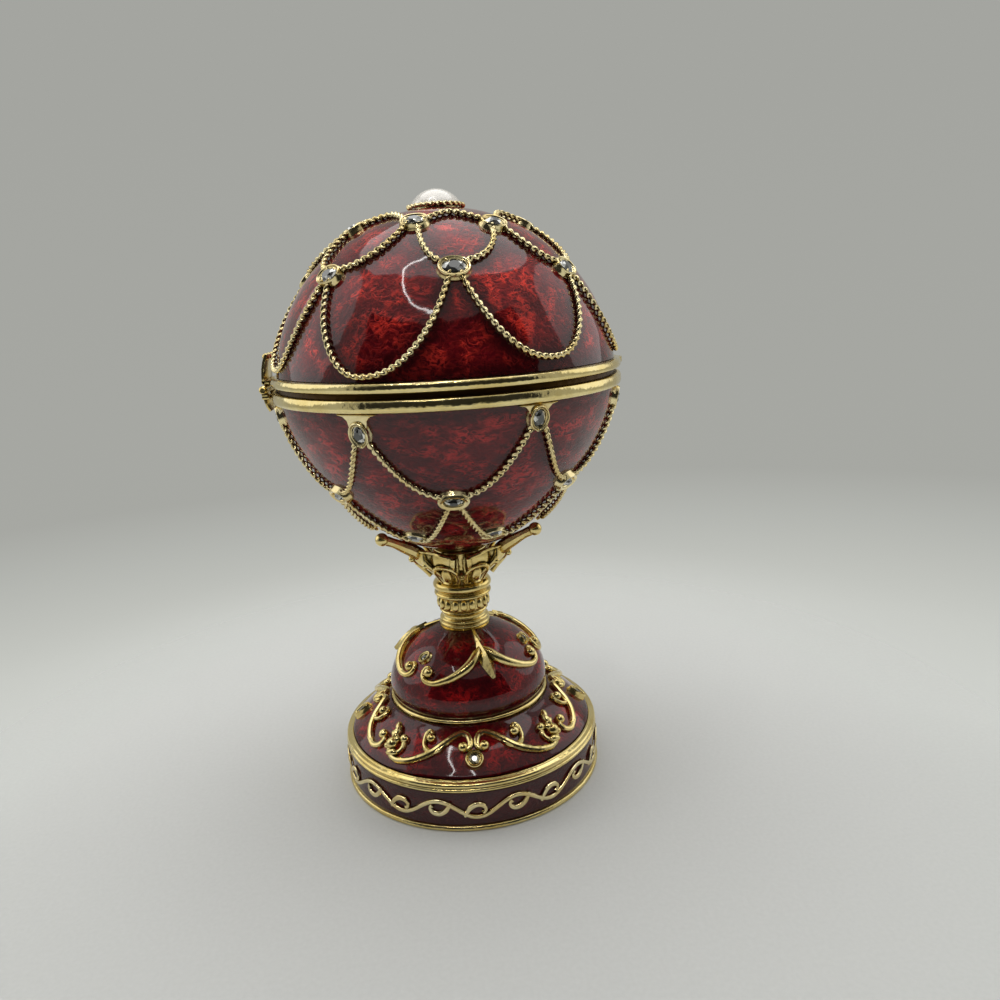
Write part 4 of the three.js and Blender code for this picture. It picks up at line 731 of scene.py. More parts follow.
ACANTHUS = [(45.6, 1.5, -70, 2.6), (46.2, 2.2, -30, 2.9), (45.8, 3.0, 4, 3.0), (44.8, 3.8, 34, 2.6),
            (43.4, 3.4, 66, 2.2), (44.0, 2.4, 100, 1.8)]
FRONT_STONE_RISE, SIDE_STONE_RISE = 2.2, 2.1


def flange_parts(bm, azimuth, mirror, routes, balls):
    """Scrolls and balls of one side of a motif."""
    wires(bm, [on_route("flange", EDGE_TOP, route, mirror, azimuth) for route in routes])
    for az, rise, lift, radius in balls:
        ball(bm, point_on("flange", azimuth + mirror * az, EDGE_TOP + rise, lift), radius)


def front_motif(bm, azimuth):
    bezel(bm, frame_on("flange", azimuth, EDGE_TOP + FRONT_STONE_RISE, 0.15), 1.6, 1.6, LIP, 32)
    for mirror in (1, -1):
        flange_parts(bm, azimuth, mirror, (LONG_SCROLL, MID_CURL, TIE),
                     ((5.6, 3.55, 0.4, 0.92), (24.0, 4.3, 0.4, 0.9), (39.5, 3.6, 0.4, 0.85),
                      (44.9, 2.7, 0.5, 1.15)))
        for az, rise, turn, length in ACANTHUS:
            place = frame_on("flange", azimuth + mirror * az, EDGE_TOP + rise, 0.45, turn * -mirror)
            lobe(bm, place, length, 1.4, 1.6)


def side_motif(bm, azimuth):
    bezel(bm, frame_on("flange", azimuth, EDGE_TOP + SIDE_STONE_RISE, 0.15), 1.0, 2.0, LIP, 32)
    for mirror in (1, -1):
        flange_parts(bm, azimuth, mirror, (SIDE_SCROLL, SIDE_CURL),
                     ((-35.6, 3.1, 0.4, 0.95), (-19.0, 4.65, 0.4, 0.85)))
        for turn, length in ((20, 2.6), (55, 2.4)):
            lobe(bm, frame_on("flange", azimuth, EDGE_TOP + 4.0, 0.45, turn * -mirror), length, 1.3, 1.4)
    lobe(bm, frame_on("flange", azimuth, EDGE_TOP + 3.8, 0.45, 0), 2.4, 1.5, 1.7)


# %% Flange motifs and their stones
for name, azimuth, motif, rise, halves in (
        ("front", 0, front_motif, FRONT_STONE_RISE, (0.96, 0.96)),
        ("back", 180, front_motif, FRONT_STONE_RISE, (0.96, 0.96)),
        ("right", 90, side_motif, SIDE_STONE_RISE, (0.5, 1.38)),
        ("left", -90, side_motif, SIDE_STONE_RISE, (0.5, 1.38))):
    bm = bmesh.new()
    motif(bm, azimuth)
    finish_piece("flange_" + name + "_cast", bm, "stand", polished_gold,
                 ["flange_" + name + "_scrolls"])
    place = frame_on("flange", azimuth, EDGE_TOP + rise, 0.1)
    finish_stone("flange_" + name + "_gem", crystal(place, *halves, 0.1, 0.8), "stand")
print(made[-8:])

# %% [markdown]
# ## Bun ornament
# Three pointed leaves hang from the stem over the bun. Each is folded along its middle, so it shows
# a bright and a dark facet, and from under it a crescent runs to either side and ends in a curl. A
# small drop-shaped setting stands between one leaf and the next.

# %% Bun leaves
BUN_SCROLL = [(0.5, 9.0, 0.35), (6, 8.35, 0.75), (14, 7.1, 0.85), (25, 5.8, 0.75), (36, 4.8, 0.62),
              (46, 4.35, 0.52), (52.5, 4.8, 0.46), (54.5, 5.7, 0.42), (51.5, 6.4, 0.36), (48.8, 5.9, 0.30)]
LEAF_STALK = [(0.3, 11.3, 0.3), (0.2, 10.6, 0.34), (0.2, 9.6, 0.6)]
LEAF_OUTLINE = [(0.0, 4.3), (0.75, 2.4), (1.25, 0.4), (1.15, -1.3), (0.75, -2.9), (0.35, -4.2)]


def leaf_blade(bm, place, lean=0.45):
    """A folded leaf: left half, ridge and right half are three rows of points, joined by bridging."""
    left, ridge, right = [], [], []
    for i, (half, y) in enumerate(LEAF_OUTLINE):
        drift = lean * (4.3 - y) / 8.6
        height = 1.1 * (1 - abs(y + 0.2) / 5.2)
        left.append(bm.verts.new(place @ Vector((drift - half, y, -0.15))))
        ridge.append(bm.verts.new(place @ Vector((drift + 0.12, y, 0.25 + height))))
        right.append(bm.verts.new(place @ Vector((drift + half, y, -0.15))))
    rows = [[bm.edges.new(pair) for pair in zip(row, row[1:])] for row in (left, ridge, right)]
    for low, high in ((rows[0], rows[1]), (rows[1], rows[2])):
        bmesh.ops.bridge_loops(bm, edges=low + high)


for i in range(3):
    azimuth = 16 + 120 * i
    bm = bmesh.new()
    leaf_blade(bm, frame_on("bun", azimuth, BUN.plane + 7.6, 0.1, 4))
    bmesh.ops.solidify(bm, geom=bm.faces[:], thickness=0.25)
    for mirror in (1, -1):
        route = on_route("bun", BUN.plane, BUN_SCROLL, mirror, azimuth, 0.25, 1.1)
        wires(bm, [route], 4, 8)
        ball(bm, point_on("bun", azimuth + mirror * 49.2, BUN.plane + 5.75, 0.4), 0.95)
    wires(bm, [on_route("bun", BUN.plane, LEAF_STALK, 1, azimuth, 0.1, 1.0)])
    place = frame_on("bun", azimuth + 60, BUN.plane + 7.5, 0.1, -26)
    bezel(bm, place, 0.95, 1.3, [(x * 0.8, z * 0.75) for x, z in LIP], 28)
    finish_piece(f"bun_leaf_cast_{i + 1}", bm, "stand", polished_gold,
                 [f"bun_leaf_scroll_{i + 1}"])
    finish_stone(f"bun_gem_{i + 1}", crystal(place, 0.48, 0.8, 0.1, 0.62), "stand")
print(made[-6:])

# %% [markdown]
# ## Stem rings
# Three turned rings stand on the bun: a double-beaded collar, a ring of rounded ribs like a row of
# seeds, and a larger bead under the calyx. The beads are arcs in the outline. The ribs are one
# rounded seed, repeated round a plain core.

# %% Stem rings
RIB_COUNT, RIB_SHAPE, CORE_RADIUS = 18, (0.70, 0.62, 1.2, 1), 4.5
FIT = 0.05
base, end = BUN_TOP + FIT, RIBBED_BASE - FIT
collar = [(BORE, base), (4.55, base)]
collar += bead(4.45, base + 0.62, 0.42, -70, 75)
collar += bead(4.32, base + 1.45, 0.4, -65, 80)
collar += [(4.15, base + 2.05), (4.1, base + 2.5), (4.45, base + 2.9), (4.7, base + 3.2),
           (CORE_RADIUS, end), (BORE, end)]
finish_piece("stem_collar_ring", spun(collar, 96, 0.05), "stand", polished_gold,
             ["stem_lower_collar"])

base, end = RIBBED_BASE + FIT, UPPER_BASE - FIT
ribs = spun([(BORE, base), (CORE_RADIUS, base), (4.68, RIBBED_BASE + 0.5), (4.68, UPPER_BASE - 0.6),
             (CORE_RADIUS, end), (BORE, end)], 72)
for i in range(RIB_COUNT):
    azimuth = i * 360 / RIB_COUNT
    middle = Matrix.Translation(polar(4.55, azimuth, (RIBBED_BASE + UPPER_BASE) / 2))
    turned = Matrix.Rotation(math.radians(azimuth), 4, "Z")
    bmesh.ops.create_uvsphere(ribs, u_segments=14, v_segments=10, radius=1.0,
                              matrix=middle @ turned @ Matrix.Diagonal(RIB_SHAPE))
finish_piece("stem_seed_ring", ribs, "stand", polished_gold, ["stem_ribbed_ring"])

base, end = UPPER_BASE, CALYX_BASE - FIT
upper = [(BORE, base), (4.9, base)]
upper += bead(5.05, base + 0.5, 0.42, -80, 75)
upper += [(4.95, base + 1.05)]
upper += bead(4.7, base + 2.15, 0.9, -55, 62, 12)
upper += [(4.75, base + 3.1), (4.45, end), (BORE, end)]
finish_piece("stem_bead_ring", spun(upper, 96, 0.05), "stand", polished_gold,
             ["stem_upper_ring"])
print(made[-3:])

# %% [markdown]
# ## Calyx
# Three broad leaves flare from the neck and hold the egg; a prong grows from the tip of each and ends
# in a ball that steadies the bowl. A leaf is made of rows of points, all taken from one flare line and
# fluted, joined by bridging and then thickened. Its edges, the ear-like folds and the prong are
# tapered wires, and a tongue with a raised edge hangs on either side of each gap.

# %% Leaf of the calyx
FLARE = [(4.9, 39.0), (5.5, 39.6), (6.3, 40.4), (7.1, 41.2), (7.9, 42.0), (8.6, 42.7), (9.1, 43.4),
         (9.3, 44.4), (9.2, 45.6)]
FLARE_LINE = eased(FLARE, 8)
LEAF_FOOT, LEAF_SPAN, LEAF_HALF_ANGLE = 39.0, 6.8, 47
TONGUE_RADIUS, TONGUE_WIDTH, TONGUE_TOP, TONGUE_LEAN = 6.0, 1.55, 42.9, 24
ARCH = [(-1.0, 0.0), (-1.04, 0.35), (-0.92, 0.72), (-0.5, 0.97), (0, 1.04), (0.5, 0.97), (0.92, 0.72),
        (1.04, 0.35), (1.0, 0.0)]


def flare_at(share):
    spot = min(0.9999, max(0.0, share)) * (len(FLARE_LINE) - 1)
    low = int(spot)
    return FLARE_LINE[low].lerp(FLARE_LINE[low + 1], spot - low)


def leaf_point(azimuth, offset, share, lift=0.0):
    """A point of a leaf: offset runs from -1 to 1 across it, share from its foot to its top edge."""
    half = LEAF_HALF_ANGLE + 4 * share
    flutes = 0.13 * math.cos(offset * math.pi * 7.0) * share
    flutes += 0.35 * math.cos(offset * math.pi * 2.2) * share
    rolled = 0.55 * max(0.0, abs(offset) - 0.72) / 0.28
    r, z = flare_at(share * (1 - 0.10 * abs(offset) ** 3))
    r += flutes + rolled * (0.5 - share) + lift
    return polar(r, azimuth + offset * half, z - 0.25 * lift)


def calyx_leaf(bm, azimuth, across=42, along=16):
    rows = []
    for j in range(along + 1):
        share = 0.02 + 0.98 * j / along
        row = [bm.verts.new(leaf_point(azimuth, -1 + 2 * i / across, share)) for i in range(across + 1)]
        rows.append([bm.edges.new(pair) for pair in zip(row, row[1:])])
    for low, high in zip(rows, rows[1:]):
        bmesh.ops.bridge_loops(bm, edges=low + high)


def tongue(bm, azimuth):
    """A hanging lobe on one side of the gap between two leaves. Returns the route of its raised edge."""
    tall = TONGUE_TOP - LEAF_FOOT

    def spot(across, z, lift):
        radius = flare_at((z - LEAF_FOOT) / LEAF_SPAN)[0] + lift
        return polar(radius, azimuth + math.degrees(across / TONGUE_RADIUS), z)

    place = Matrix.Translation(spot(0, (LEAF_FOOT + TONGUE_TOP) / 2, 0.75))
    place = place @ Matrix.Rotation(math.radians(azimuth), 4, "Z")
    place = place @ Matrix.Rotation(math.radians(TONGUE_LEAN), 4, "X")
    lobed = Matrix.Diagonal((TONGUE_WIDTH * 0.62, 0.95, tall / 2 * 0.95, 1))
    bmesh.ops.create_uvsphere(bm, u_segments=20, v_segments=14, radius=1.0, matrix=place @ lobed)
    return [(spot(x * TONGUE_WIDTH, LEAF_FOOT + share * tall, 1.05), 0.38) for x, share in ARCH]


print("leaf tip", [round(v, 2) for v in leaf_point(0, 0, 1)])

# %% Calyx casting
LEAF_AZIMUTHS, GAP_AZIMUTHS = (60, 180, -60), (0, 120, -120)
PRONG = [(6.6, 41.6, 0.7), (8.4, 44.3, 1.2), (10.0, 45.6, 1.28), (12.0, 46.85, 1.1), (13.6, 47.8, 0.9),
         (14.8, 48.45, 0.92), (15.9, CALYX_SEAT + 5.5, 0.95)]
EAR = [(0.30, 0.97, 0.35), (0.34, 0.80, 0.5), (0.42, 0.62, 0.55), (0.50, 0.48, 0.5),
       (0.58, 0.34, 0.45), (0.64, 0.20, 0.4), (0.66, 0.05, 0.35)]

calyx = spun([(BORE, CALYX_BASE), (4.45, CALYX_BASE), (4.55, 40.2), (4.7, 41.6), (5.0, 43.2), (5.3, 44.2),
              (5.1, 44.6), (4.6, CALYX_SEAT), (BORE, CALYX_SEAT)], 64, 0.1)
leaves = bmesh.new()
for azimuth in LEAF_AZIMUTHS:
    calyx_leaf(leaves, azimuth)
bmesh.ops.recalc_face_normals(leaves, faces=leaves.faces)
bmesh.ops.solidify(leaves, geom=leaves.faces[:], thickness=0.5)
join_in(calyx, leaves)

for azimuth in LEAF_AZIMUTHS:
    routes = [[(polar(r, azimuth, z), radius) for r, z, radius in PRONG]]
    for side in (1, -1):
        edge = [(leaf_point(azimuth, side, s, 0.1), 0.36 + 0.14 * s) for s in (0.42, 0.55, 0.7, 0.85, 1.0)]
        top_edge = [(leaf_point(azimuth, side * o, 1.0, 0.0), 0.34) for o in (1.0, 0.8, 0.55, 0.3, 0.1)]
        ear = [(leaf_point(azimuth, side * o, s, 0.35), r) for o, s, r in EAR]
        routes += [edge, top_edge, ear, tongue(calyx, azimuth + side * 38)]
        ball(calyx, leaf_point(azimuth, side * 0.33, 0.72, 0.5), 0.62)
    wires(calyx, routes, 3, 8)
    ball(calyx, routes[0][-1][0], 1.22, 28)
for azimuth in GAP_AZIMUTHS:
    for across, rise, radius in ((-0.75, 0.5, 0.5), (0, 1.05, 0.62), (0.75, 0.5, 0.5)):
        ball(calyx, polar(5.0, azimuth + math.degrees(across / 5.0), LEAF_FOOT + rise), radius, 14)
finish_piece("calyx_cast", calyx, "stand", polished_gold, ["calyx"])
print(made[-1])

# %% [markdown]
# ## Screw and washer
# One screw runs up the stem into a boss of the bowl and draws the whole stand together. Its head can
# be seen from below, in the hollow of the foot, with a driver slot cut across it.

# %% Screw and washer
SCREW_RADIUS, HEAD_RADIUS, HEAD_HEIGHT, SLOT_HALF, SLOT_DEPTH = 1.5, 3.0, 1.6, 0.3, 0.7
WASHER_RADIUS, WASHER_THICK = 3.6, 0.6
washer_top = BUN_TOP - BUN_SEAT - FIT
head_top = washer_top - WASHER_THICK - FIT
head_low = head_top - HEAD_HEIGHT
screw_tip = CALYX_SEAT + FIT + 2.0
screw = spun([(0, head_low), (HEAD_RADIUS - 0.6, head_low), (HEAD_RADIUS, head_low + 0.5),
              (HEAD_RADIUS, head_top), (SCREW_RADIUS, head_top), (SCREW_RADIUS, screw_tip - 0.4),
              (SCREW_RADIUS - 0.4, screw_tip), (0, screw_tip)], 48, 0.08)
for side in (SLOT_HALF, -SLOT_HALF):
    bmesh.ops.bisect_plane(screw, geom=screw.verts[:] + screw.edges[:] + screw.faces[:],
                           plane_co=(side, 0, 0), plane_no=(1, 0, 0))
slot_faces = [f for f in screw.faces if abs(f.calc_center_median().x) < SLOT_HALF
              and f.calc_center_median().z < head_low + 0.6 and f.normal.z < -0.5]
push_faces(screw, slot_faces, (0, 0, SLOT_DEPTH))
bmesh.ops.delete(screw, geom=slot_faces, context="FACES")
finish_piece("stem_screw_steel", screw, "stand", steel_finish, ["stem_screw"])
washer_low = washer_top - WASHER_THICK
washer = spun([(BORE, washer_low), (WASHER_RADIUS, washer_low), (WASHER_RADIUS, washer_top),
               (BORE, washer_top)], 48, 0.08)
finish_piece("stem_washer_steel", washer, "stand", steel_finish, ["stem_washer"])
print(made[-2:])

# %% [markdown]
# ## Castings and rims of the egg
# Under the enamel both halves are thin castings, satin-gilt inside. A polished rim closes each edge.
# The bowl's rim carries a low collar that centres the lid, and the lid's rim has a small lip for the
# thumb, opposite the hinge.

# %% Shells
INNER = BED + WALL
EDGE = RIM_HEIGHT + FIT
BOSS_RADIUS, BOSS_HOLE, HOLE_END = 4.4, 1.62, CALYX_SEAT + 2.35
bowl_inside = BOWL.profile(EDGE, 0, INNER, 40)
bowl_outside = BOWL.profile(EDGE, BOSS_RADIUS, BED, 40)[::-1]
boss = [(0, HOLE_END), (BOSS_HOLE, HOLE_END), (BOSS_HOLE, CALYX_SEAT + FIT), (BOSS_RADIUS, CALYX_SEAT + FIT)]
bowl_shell = spun(boss + bowl_outside + bowl_inside, 128, 0.0)
finish_piece("bowl_cast", bowl_shell, "stand", satin_gold, ["bowl_shell"])
lid_outside = LID.profile(EDGE, 0, BED, 40)
lid_inside = LID.profile(EDGE, 0, INNER, 40)[::-1]
finish_piece("lid_cast", spun(lid_inside + lid_outside, 128), "lid", satin_gold, ["lid_shell"])
print(made[-2:])

# %% Rims
COLLAR_WALL, COLLAR_HEIGHT, COLLAR_FIT, SEAM_RADIUS, SEAM_TOP = 0.8, 2.4, 0.25, 29.7, 0.42
LIP_RISE, LIP_THICK = 0.35, 0.9
LIP_OUTLINE = [(30.4, -3.0), (31.1, -2.3), (31.6, -1.3), (31.85, 0), (31.6, 1.3), (31.1, 2.3), (30.4, 3.0)]
collar_out = BOWL.radius - INNER + COLLAR_WALL
collar_in = collar_out - COLLAR_WALL
low, high, seam_low = BOWL.plane - RIM_HEIGHT, BOWL.plane, LID.plane - 0.12
bowl_rim = [(collar_in, low), (RIM_RADIUS - 0.65, low), (RIM_RADIUS - 0.3, low + 0.12),
            (RIM_RADIUS - 0.1, low + 0.35), (RIM_RADIUS, low + 0.75), (RIM_RADIUS - 0.03, high),
            (RIM_RADIUS - 0.2, high + 0.3), (RIM_RADIUS - 0.5, high + SEAM_TOP),
            (SEAM_RADIUS, high + SEAM_TOP), (SEAM_RADIUS, seam_low), (collar_out, seam_low),
            (collar_out, high + COLLAR_HEIGHT), (collar_in, high + COLLAR_HEIGHT)]
finish_piece("bowl_rim_ring", spun(bowl_rim, 192, 0.05), "stand", rim_gold, ["bowl_rim"])

low, high = LID.plane, LID.plane + RIM_HEIGHT
lid_rim = [(collar_out + COLLAR_FIT, low), (RIM_RADIUS - 0.5, low), (RIM_RADIUS - 0.2, low + 0.14),
           (RIM_RADIUS - 0.03, low + 0.45), (RIM_RADIUS, low + 0.85), (RIM_RADIUS - 0.1, high - 0.35),
           (RIM_RADIUS - 0.3, high - 0.12), (RIM_RADIUS - 0.65, high), (collar_out + COLLAR_FIT, high)]
rim = spun(lid_rim, 192, 0.05)
add_block(rim, [(p.x, p.y, low + LIP_RISE) for p in eased(LIP_OUTLINE, 4)], (0, 0, LIP_THICK))
finish_piece("lid_rim_ring", rim, "lid", rim_gold, ["lid_rim"])
print(made[-2:])

# %% [markdown]
# ## Hinge
# A barrel hinge stands at the left. Its upper leaf is a strap that leans on the lid, its lower leaf a
# thin curved sheet under the rim, and a pin with two small heads joins them. The leaves are outlines
# in the plane across the pin, extruded along it and bevelled.

# %% Hinge
BARREL_RADIUS, BARREL_BORE, BREAK = 0.74, 0.52, 0.1
MIDDLE_WIDTH, SIDE_WIDTH, SIDE_OFFSET, STRAP_WIDTH, PAD_WIDTH = 3.0, 2.88, 3.06, 7.0, 9.0


def plate(bm, outline_xz, width, centre=0.0):
    """A block with this outline across the pin, pushed out along it."""
    part = bmesh.new()
    near = [(HINGE_X + x, centre - width / 2, HINGE_Z + z) for x, z in outline_xz]
    add_block(part, near, (0, width, 0))
    bmesh.ops.recalc_face_normals(part, faces=part.faces)
    soften_arrises(part, BREAK, 2, 40)
    join_in(bm, part)


def along_pin(centre=0.0):
    """Lays what was spun round Z along the pin's axis."""
    return Matrix.Translation((HINGE_X, centre, HINGE_Z)) @ Matrix.Rotation(math.radians(90), 4, "X")


def barrel(bm, width, centre):
    low, high = -width / 2, width / 2
    outline_rz = [(BARREL_BORE, low), (BARREL_RADIUS - BREAK, low), (BARREL_RADIUS, low + BREAK),
                  (BARREL_RADIUS, high - BREAK), (BARREL_RADIUS - BREAK, high), (BARREL_BORE, high)]
    join_in(bm, spun(outline_rz, 40), along_pin(centre))


STRAP = [(-0.30, 0.9), (-0.28, 2.2), (-0.12, 3.6), (0.22, 4.9), (0.75, 6.1), (1.3, 6.0), (0.75, 4.7),
         (0.42, 3.5), (0.25, 2.2), (0.25, 0.9)]
APRON = [(-0.35, -0.9), (-0.30, -2.0), (-0.02, -3.0), (0.42, -3.9), (0.80, -3.75), (0.42, -2.9),
         (0.14, -2.0), (0.05, -0.9)]
PAD_UP = [(-0.35, 0.95), (0.95, 0.95), (0.95, 1.6), (-0.35, 1.6)]
PAD_DOWN = [(x, -z) for x, z in PAD_UP]
WEB_UP = [(-0.35, 1.1), (-0.40, 0.4), (0.5, 0.4), (0.7, 1.1)]
WEB_DOWN = [(x, -z) for x, z in WEB_UP]

upper_leaf = bmesh.new()
barrel(upper_leaf, MIDDLE_WIDTH, 0)
for shape, width in ((WEB_UP, MIDDLE_WIDTH), (PAD_UP, STRAP_WIDTH), (STRAP, STRAP_WIDTH)):
    plate(upper_leaf, shape, width)
for y in (-2.6, 0, 2.6):
    ball(upper_leaf, Vector((HINGE_X + 0.75, y, HINGE_Z + 5.6)), 0.62)
    ball(upper_leaf, Vector((HINGE_X + 0.0, y, HINGE_Z + 1.3)), 0.5)
finish_piece("hinge_strap", upper_leaf, "lid", polished_gold, ["hinge_upper_leaf"])
lower_leaf = bmesh.new()
for side in (1, -1):
    barrel(lower_leaf, SIDE_WIDTH, side * SIDE_OFFSET)
    plate(lower_leaf, WEB_DOWN, SIDE_WIDTH, side * SIDE_OFFSET)
plate(lower_leaf, PAD_DOWN, PAD_WIDTH)
plate(lower_leaf, APRON, STRAP_WIDTH)
finish_piece("hinge_apron", lower_leaf, "stand", polished_gold, ["hinge_lower_leaf"])
pin = spun([(0, -4.91), (0.45, -4.91), (0.6, -4.75), (0.6, -4.56), (0.46, -4.56), (0.46, 4.56), (0.6, 4.56),
            (0.6, 4.75), (0.45, 4.91), (0, 4.91)], 32)
bmesh.ops.transform(pin, matrix=along_pin(), verts=pin.verts)
finish_piece("hinge_pin_wire", pin, "stand", polished_gold, ["hinge_pin"])
print(made[-3:])

# %% [markdown]
# ## Ropes
# The borders are two gold wires twisted together and soldered to the casting. A section with two
# round lobes is swept along the swag while it turns once every few millimetres, which gives the row
# of slanting beads of a real twist. The swag itself is a parabola-like curve drawn on the dome.

# %% Twisted rope
ROPE_LIFT, ROPE_LAY, SWAG_POWER = 0.50, 2.4, 2.3
SWAGS = 7
STEP = 360 / SWAGS
LID_TURN, BOWL_TURN = 5, -1


def two_lobes(width=0.27, offset=0.245, sides=6):
    points = []
    for side in (1, -1):
        for i in range(sides + 1):
            a = math.radians(-105 + 210 * i / sides) + (0 if side > 0 else math.pi)
            points.append((side * offset + width * math.cos(a), width * math.sin(a)))
    return points


def rope_section():
    data = bpy.data.curves.new("section", "CURVE")
    data.dimensions = "2D"
    points = two_lobes()
    spline = data.splines.new("POLY")
    spline.points.add(len(points) - 1)
    for knot, (x, y) in zip(spline.points, points):
        knot.co = (x, y, 0, 1)
    spline.use_cyclic_u = True
    section = bpy.data.objects.new("section", data)
    bpy.context.scene.collection.objects.link(section)
    return section


def even_points(points, gap):
    """The same route with its points at an even distance."""
    out, carry = [points[0]], 0.0
    for a, b in zip(points, points[1:]):
        length = (b - a).length
        spot = gap - carry
        while spot < length:
            out.append(a.lerp(b, spot / length))
            spot += gap
        carry = length - (spot - gap)
    return out + ([points[-1]] if (points[-1] - out[-1]).length > gap / 3 else [])


def ropes(bm, routes, gap=0.2, lay=ROPE_LAY, size=1.0, cyclic=False):
    section = rope_section()
    curve = bpy.data.curves.new("rope", "CURVE")
    curve.dimensions, curve.use_fill_caps = "3D", True
    curve.bevel_mode, curve.bevel_object = "OBJECT", section
    curve.twist_mode = "MINIMUM"
    for route in routes:
        points = even_points(route, gap)
        if cyclic:
            points = points[:-1]
        turns = 2 * math.pi * gap / lay
        if cyclic:
            turns = math.pi * round(turns * len(points) / math.pi) / len(points)
        spline = curve.splines.new("POLY")
        spline.points.add(len(points) - 1)
        for i, (knot, point) in enumerate(zip(spline.points, points)):
            knot.co, knot.tilt, knot.radius = (*point, 1), turns * i, size
        spline.use_cyclic_u = cyclic
    pour(bm, swept(curve))
    bpy.data.objects.remove(section)


def leg(surface, low, high, power=SWAG_POWER, steps=24):
    """From a swag's lowest point out to the stone that it hangs from; both are (azimuth, height)."""
    points = []
    for i in range(steps + 1):
        share = i / steps
        azimuth = low[0] + (high[0] - low[0]) * share ** (2 / power)
        points.append(point_on(surface, azimuth, low[1] + (high[1] - low[1]) * share ** 2, ROPE_LIFT))
    return points


print("rope section", len(two_lobes()), "points")

# %% [markdown]
# ## Trellis of the lid
# Seven swags hang from the middle stones nearly to the rim, two legs climb from each middle stone to
# the pair of top stones beside it, and a short rope joins neighbouring top stones round the pearl.

# %% Lid trellis
MIDDLE_Z, TOP_Z = LID.plane + 17.1, LID.plane + 24.4
middle_spots = [(LID_TURN + i * STEP, MIDDLE_Z - (0.5 if i == 1 else 0)) for i in range(SWAGS)]
top_spots = [(LID_TURN + (7.0 if i == 6 else 3.0) + (i + 0.5) * STEP, TOP_Z - (0.6 if i == 0 else -0.1))
             for i in range(SWAGS)]
LOWEST = [(2.2, 3.6), (-1.5, 3.0), (1.0, 3.4), (-2.0, 2.9), (0.5, 3.3), (2.0, 3.0), (-4.0, 2.5)]
lid_routes = []
for i in range(SWAGS):
    here, there = middle_spots[i], middle_spots[(i + 1) % SWAGS]
    ahead = (here[0] + STEP, there[1])
    low = (here[0] + STEP / 2 + LOWEST[i][0], LID.plane + LOWEST[i][1])
    left = leg("lid", low, (here[0] + 1.5, here[1] - 0.4))
    right = leg("lid", low, (ahead[0] - 1.5, ahead[1] - 0.4))
    lid_routes.append(left[::-1] + right[1:])
    above, before = top_spots[i], (top_spots[i - 1][0] - (360 if i == 0 else 0), top_spots[i - 1][1])
    lid_routes.append(leg("lid", (here[0] + 2, here[1] + 0.9), (above[0] - 3, above[1] - 0.3)))
    lid_routes.append(leg("lid", (here[0] - 2, here[1] + 0.9), (before[0] + 3, before[1] - 0.3)))
    gap = above[0] - before[0]
    lid_routes.append([point_on("lid", before[0] + gap / 2 + k / 6 * (gap / 2 - 5),
                                (above[1] + before[1]) / 2 + 0.3 + 1.4 * (1 - (k / 6) ** 2), ROPE_LIFT)
                       for k in range(-6, 7)])
lid_trellis = bmesh.new()
ropes(lid_trellis, lid_routes)
top_places = [frame_on("lid", azimuth, z, 0.12) for azimuth, z in top_spots]
middle_places = [frame_on("lid", azimuth, z, 0.12) for azimuth, z in middle_spots]
for i in range(SWAGS):
    bezel(lid_trellis, top_places[i], 2.3, 1.9, LIP, 32, 0.03)
    bezel(lid_trellis, middle_places[i], 2.5, 1.9, LIP, 32, 0.03)
finish_piece("lid_rope_work", lid_trellis, "lid", rope_gold, ["lid_rope_trellis"])
for i in range(SWAGS):
    top_gem, middle_gem = crystal(top_places[i], 1.66, 1.26), crystal(middle_places[i], 1.86, 1.42)
    finish_stone(f"lid_top_gem_{i + 1}", top_gem, "lid", [f"lid_top_stone_{i + 1}"])
    finish_stone(f"lid_middle_gem_{i + 1}", middle_gem, "lid", [f"lid_middle_stone_{i + 1}"])
print(made[-15])

# %% Lid skin
rope_points = [point for route in lid_routes for point in route]
SKIN_EDGE = RIM_HEIGHT + 0.14
lid_outer = LID.profile(SKIN_EDGE, 3.7, 0, 110)
lid_under = LID.profile(SKIN_EDGE, 3.7, ENAMEL, 20)[::-1]
lid_skin = finish_piece("lid_glaze", spun(lid_outer + lid_under, 320), "lid", lid_enamel_finish,
                        ["lid_enamel"])
around_stones = [place.translation for place in top_places + middle_places]
rim_points = ring_points(30.5, LID.plane + 1.5, 240)
mark_open_part(lid_skin, rope_points + around_stones + rim_points, 3.2, 0.0, 0.7)
print(made[-1])

# %% [markdown]
# ## Trellis of the bowl
# Upright oval stones hang under the rim on short webs, a rope runs from each down to a middle stone,
# and another from there to a flat oval stone near the calyx.

# %% Bowl trellis
UPPER_Z, MID_Z, LOWER_Z = BOWL.plane - 3.9, BOWL.plane - 16.3, BOWL.plane - 25.2
HAND_SET = {0: (1.6, 0.1), 6: (-1.0, -0.8)}
upper_spots = [(BOWL_TURN + (i + 0.5) * STEP + HAND_SET.get(i, (0, 0))[0],
                UPPER_Z + HAND_SET.get(i, (0, 0))[1]) for i in range(SWAGS)]
mid_spots = [(BOWL_TURN + i * STEP, MID_Z) for i in range(SWAGS)]
lower_spots = [(BOWL_TURN + (i + 0.5) * STEP - (3.5 if i == 0 else 0), LOWER_Z + 0.4) for i in range(SWAGS)]
bowl_routes = []
for i in range(SWAGS):
    middle, right = mid_spots[i], upper_spots[i]
    left = (upper_spots[i - 1][0] - (360 if i == 0 else 0), upper_spots[i - 1][1])
    for side, upper in ((1, right), (-1, left)):
        above = (middle[0] + side * 2, middle[1] + 0.9)
        bowl_routes.append(leg("bowl", above, (upper[0] - side * 2.2, upper[1] - 1.1)))
        beside = (middle[0] + side * (STEP / 2 - 3), LOWER_Z + 0.3)
        bowl_routes.append(leg("bowl", beside, (middle[0] + side * 2, middle[1] - 0.9)))
bowl_trellis = bmesh.new()
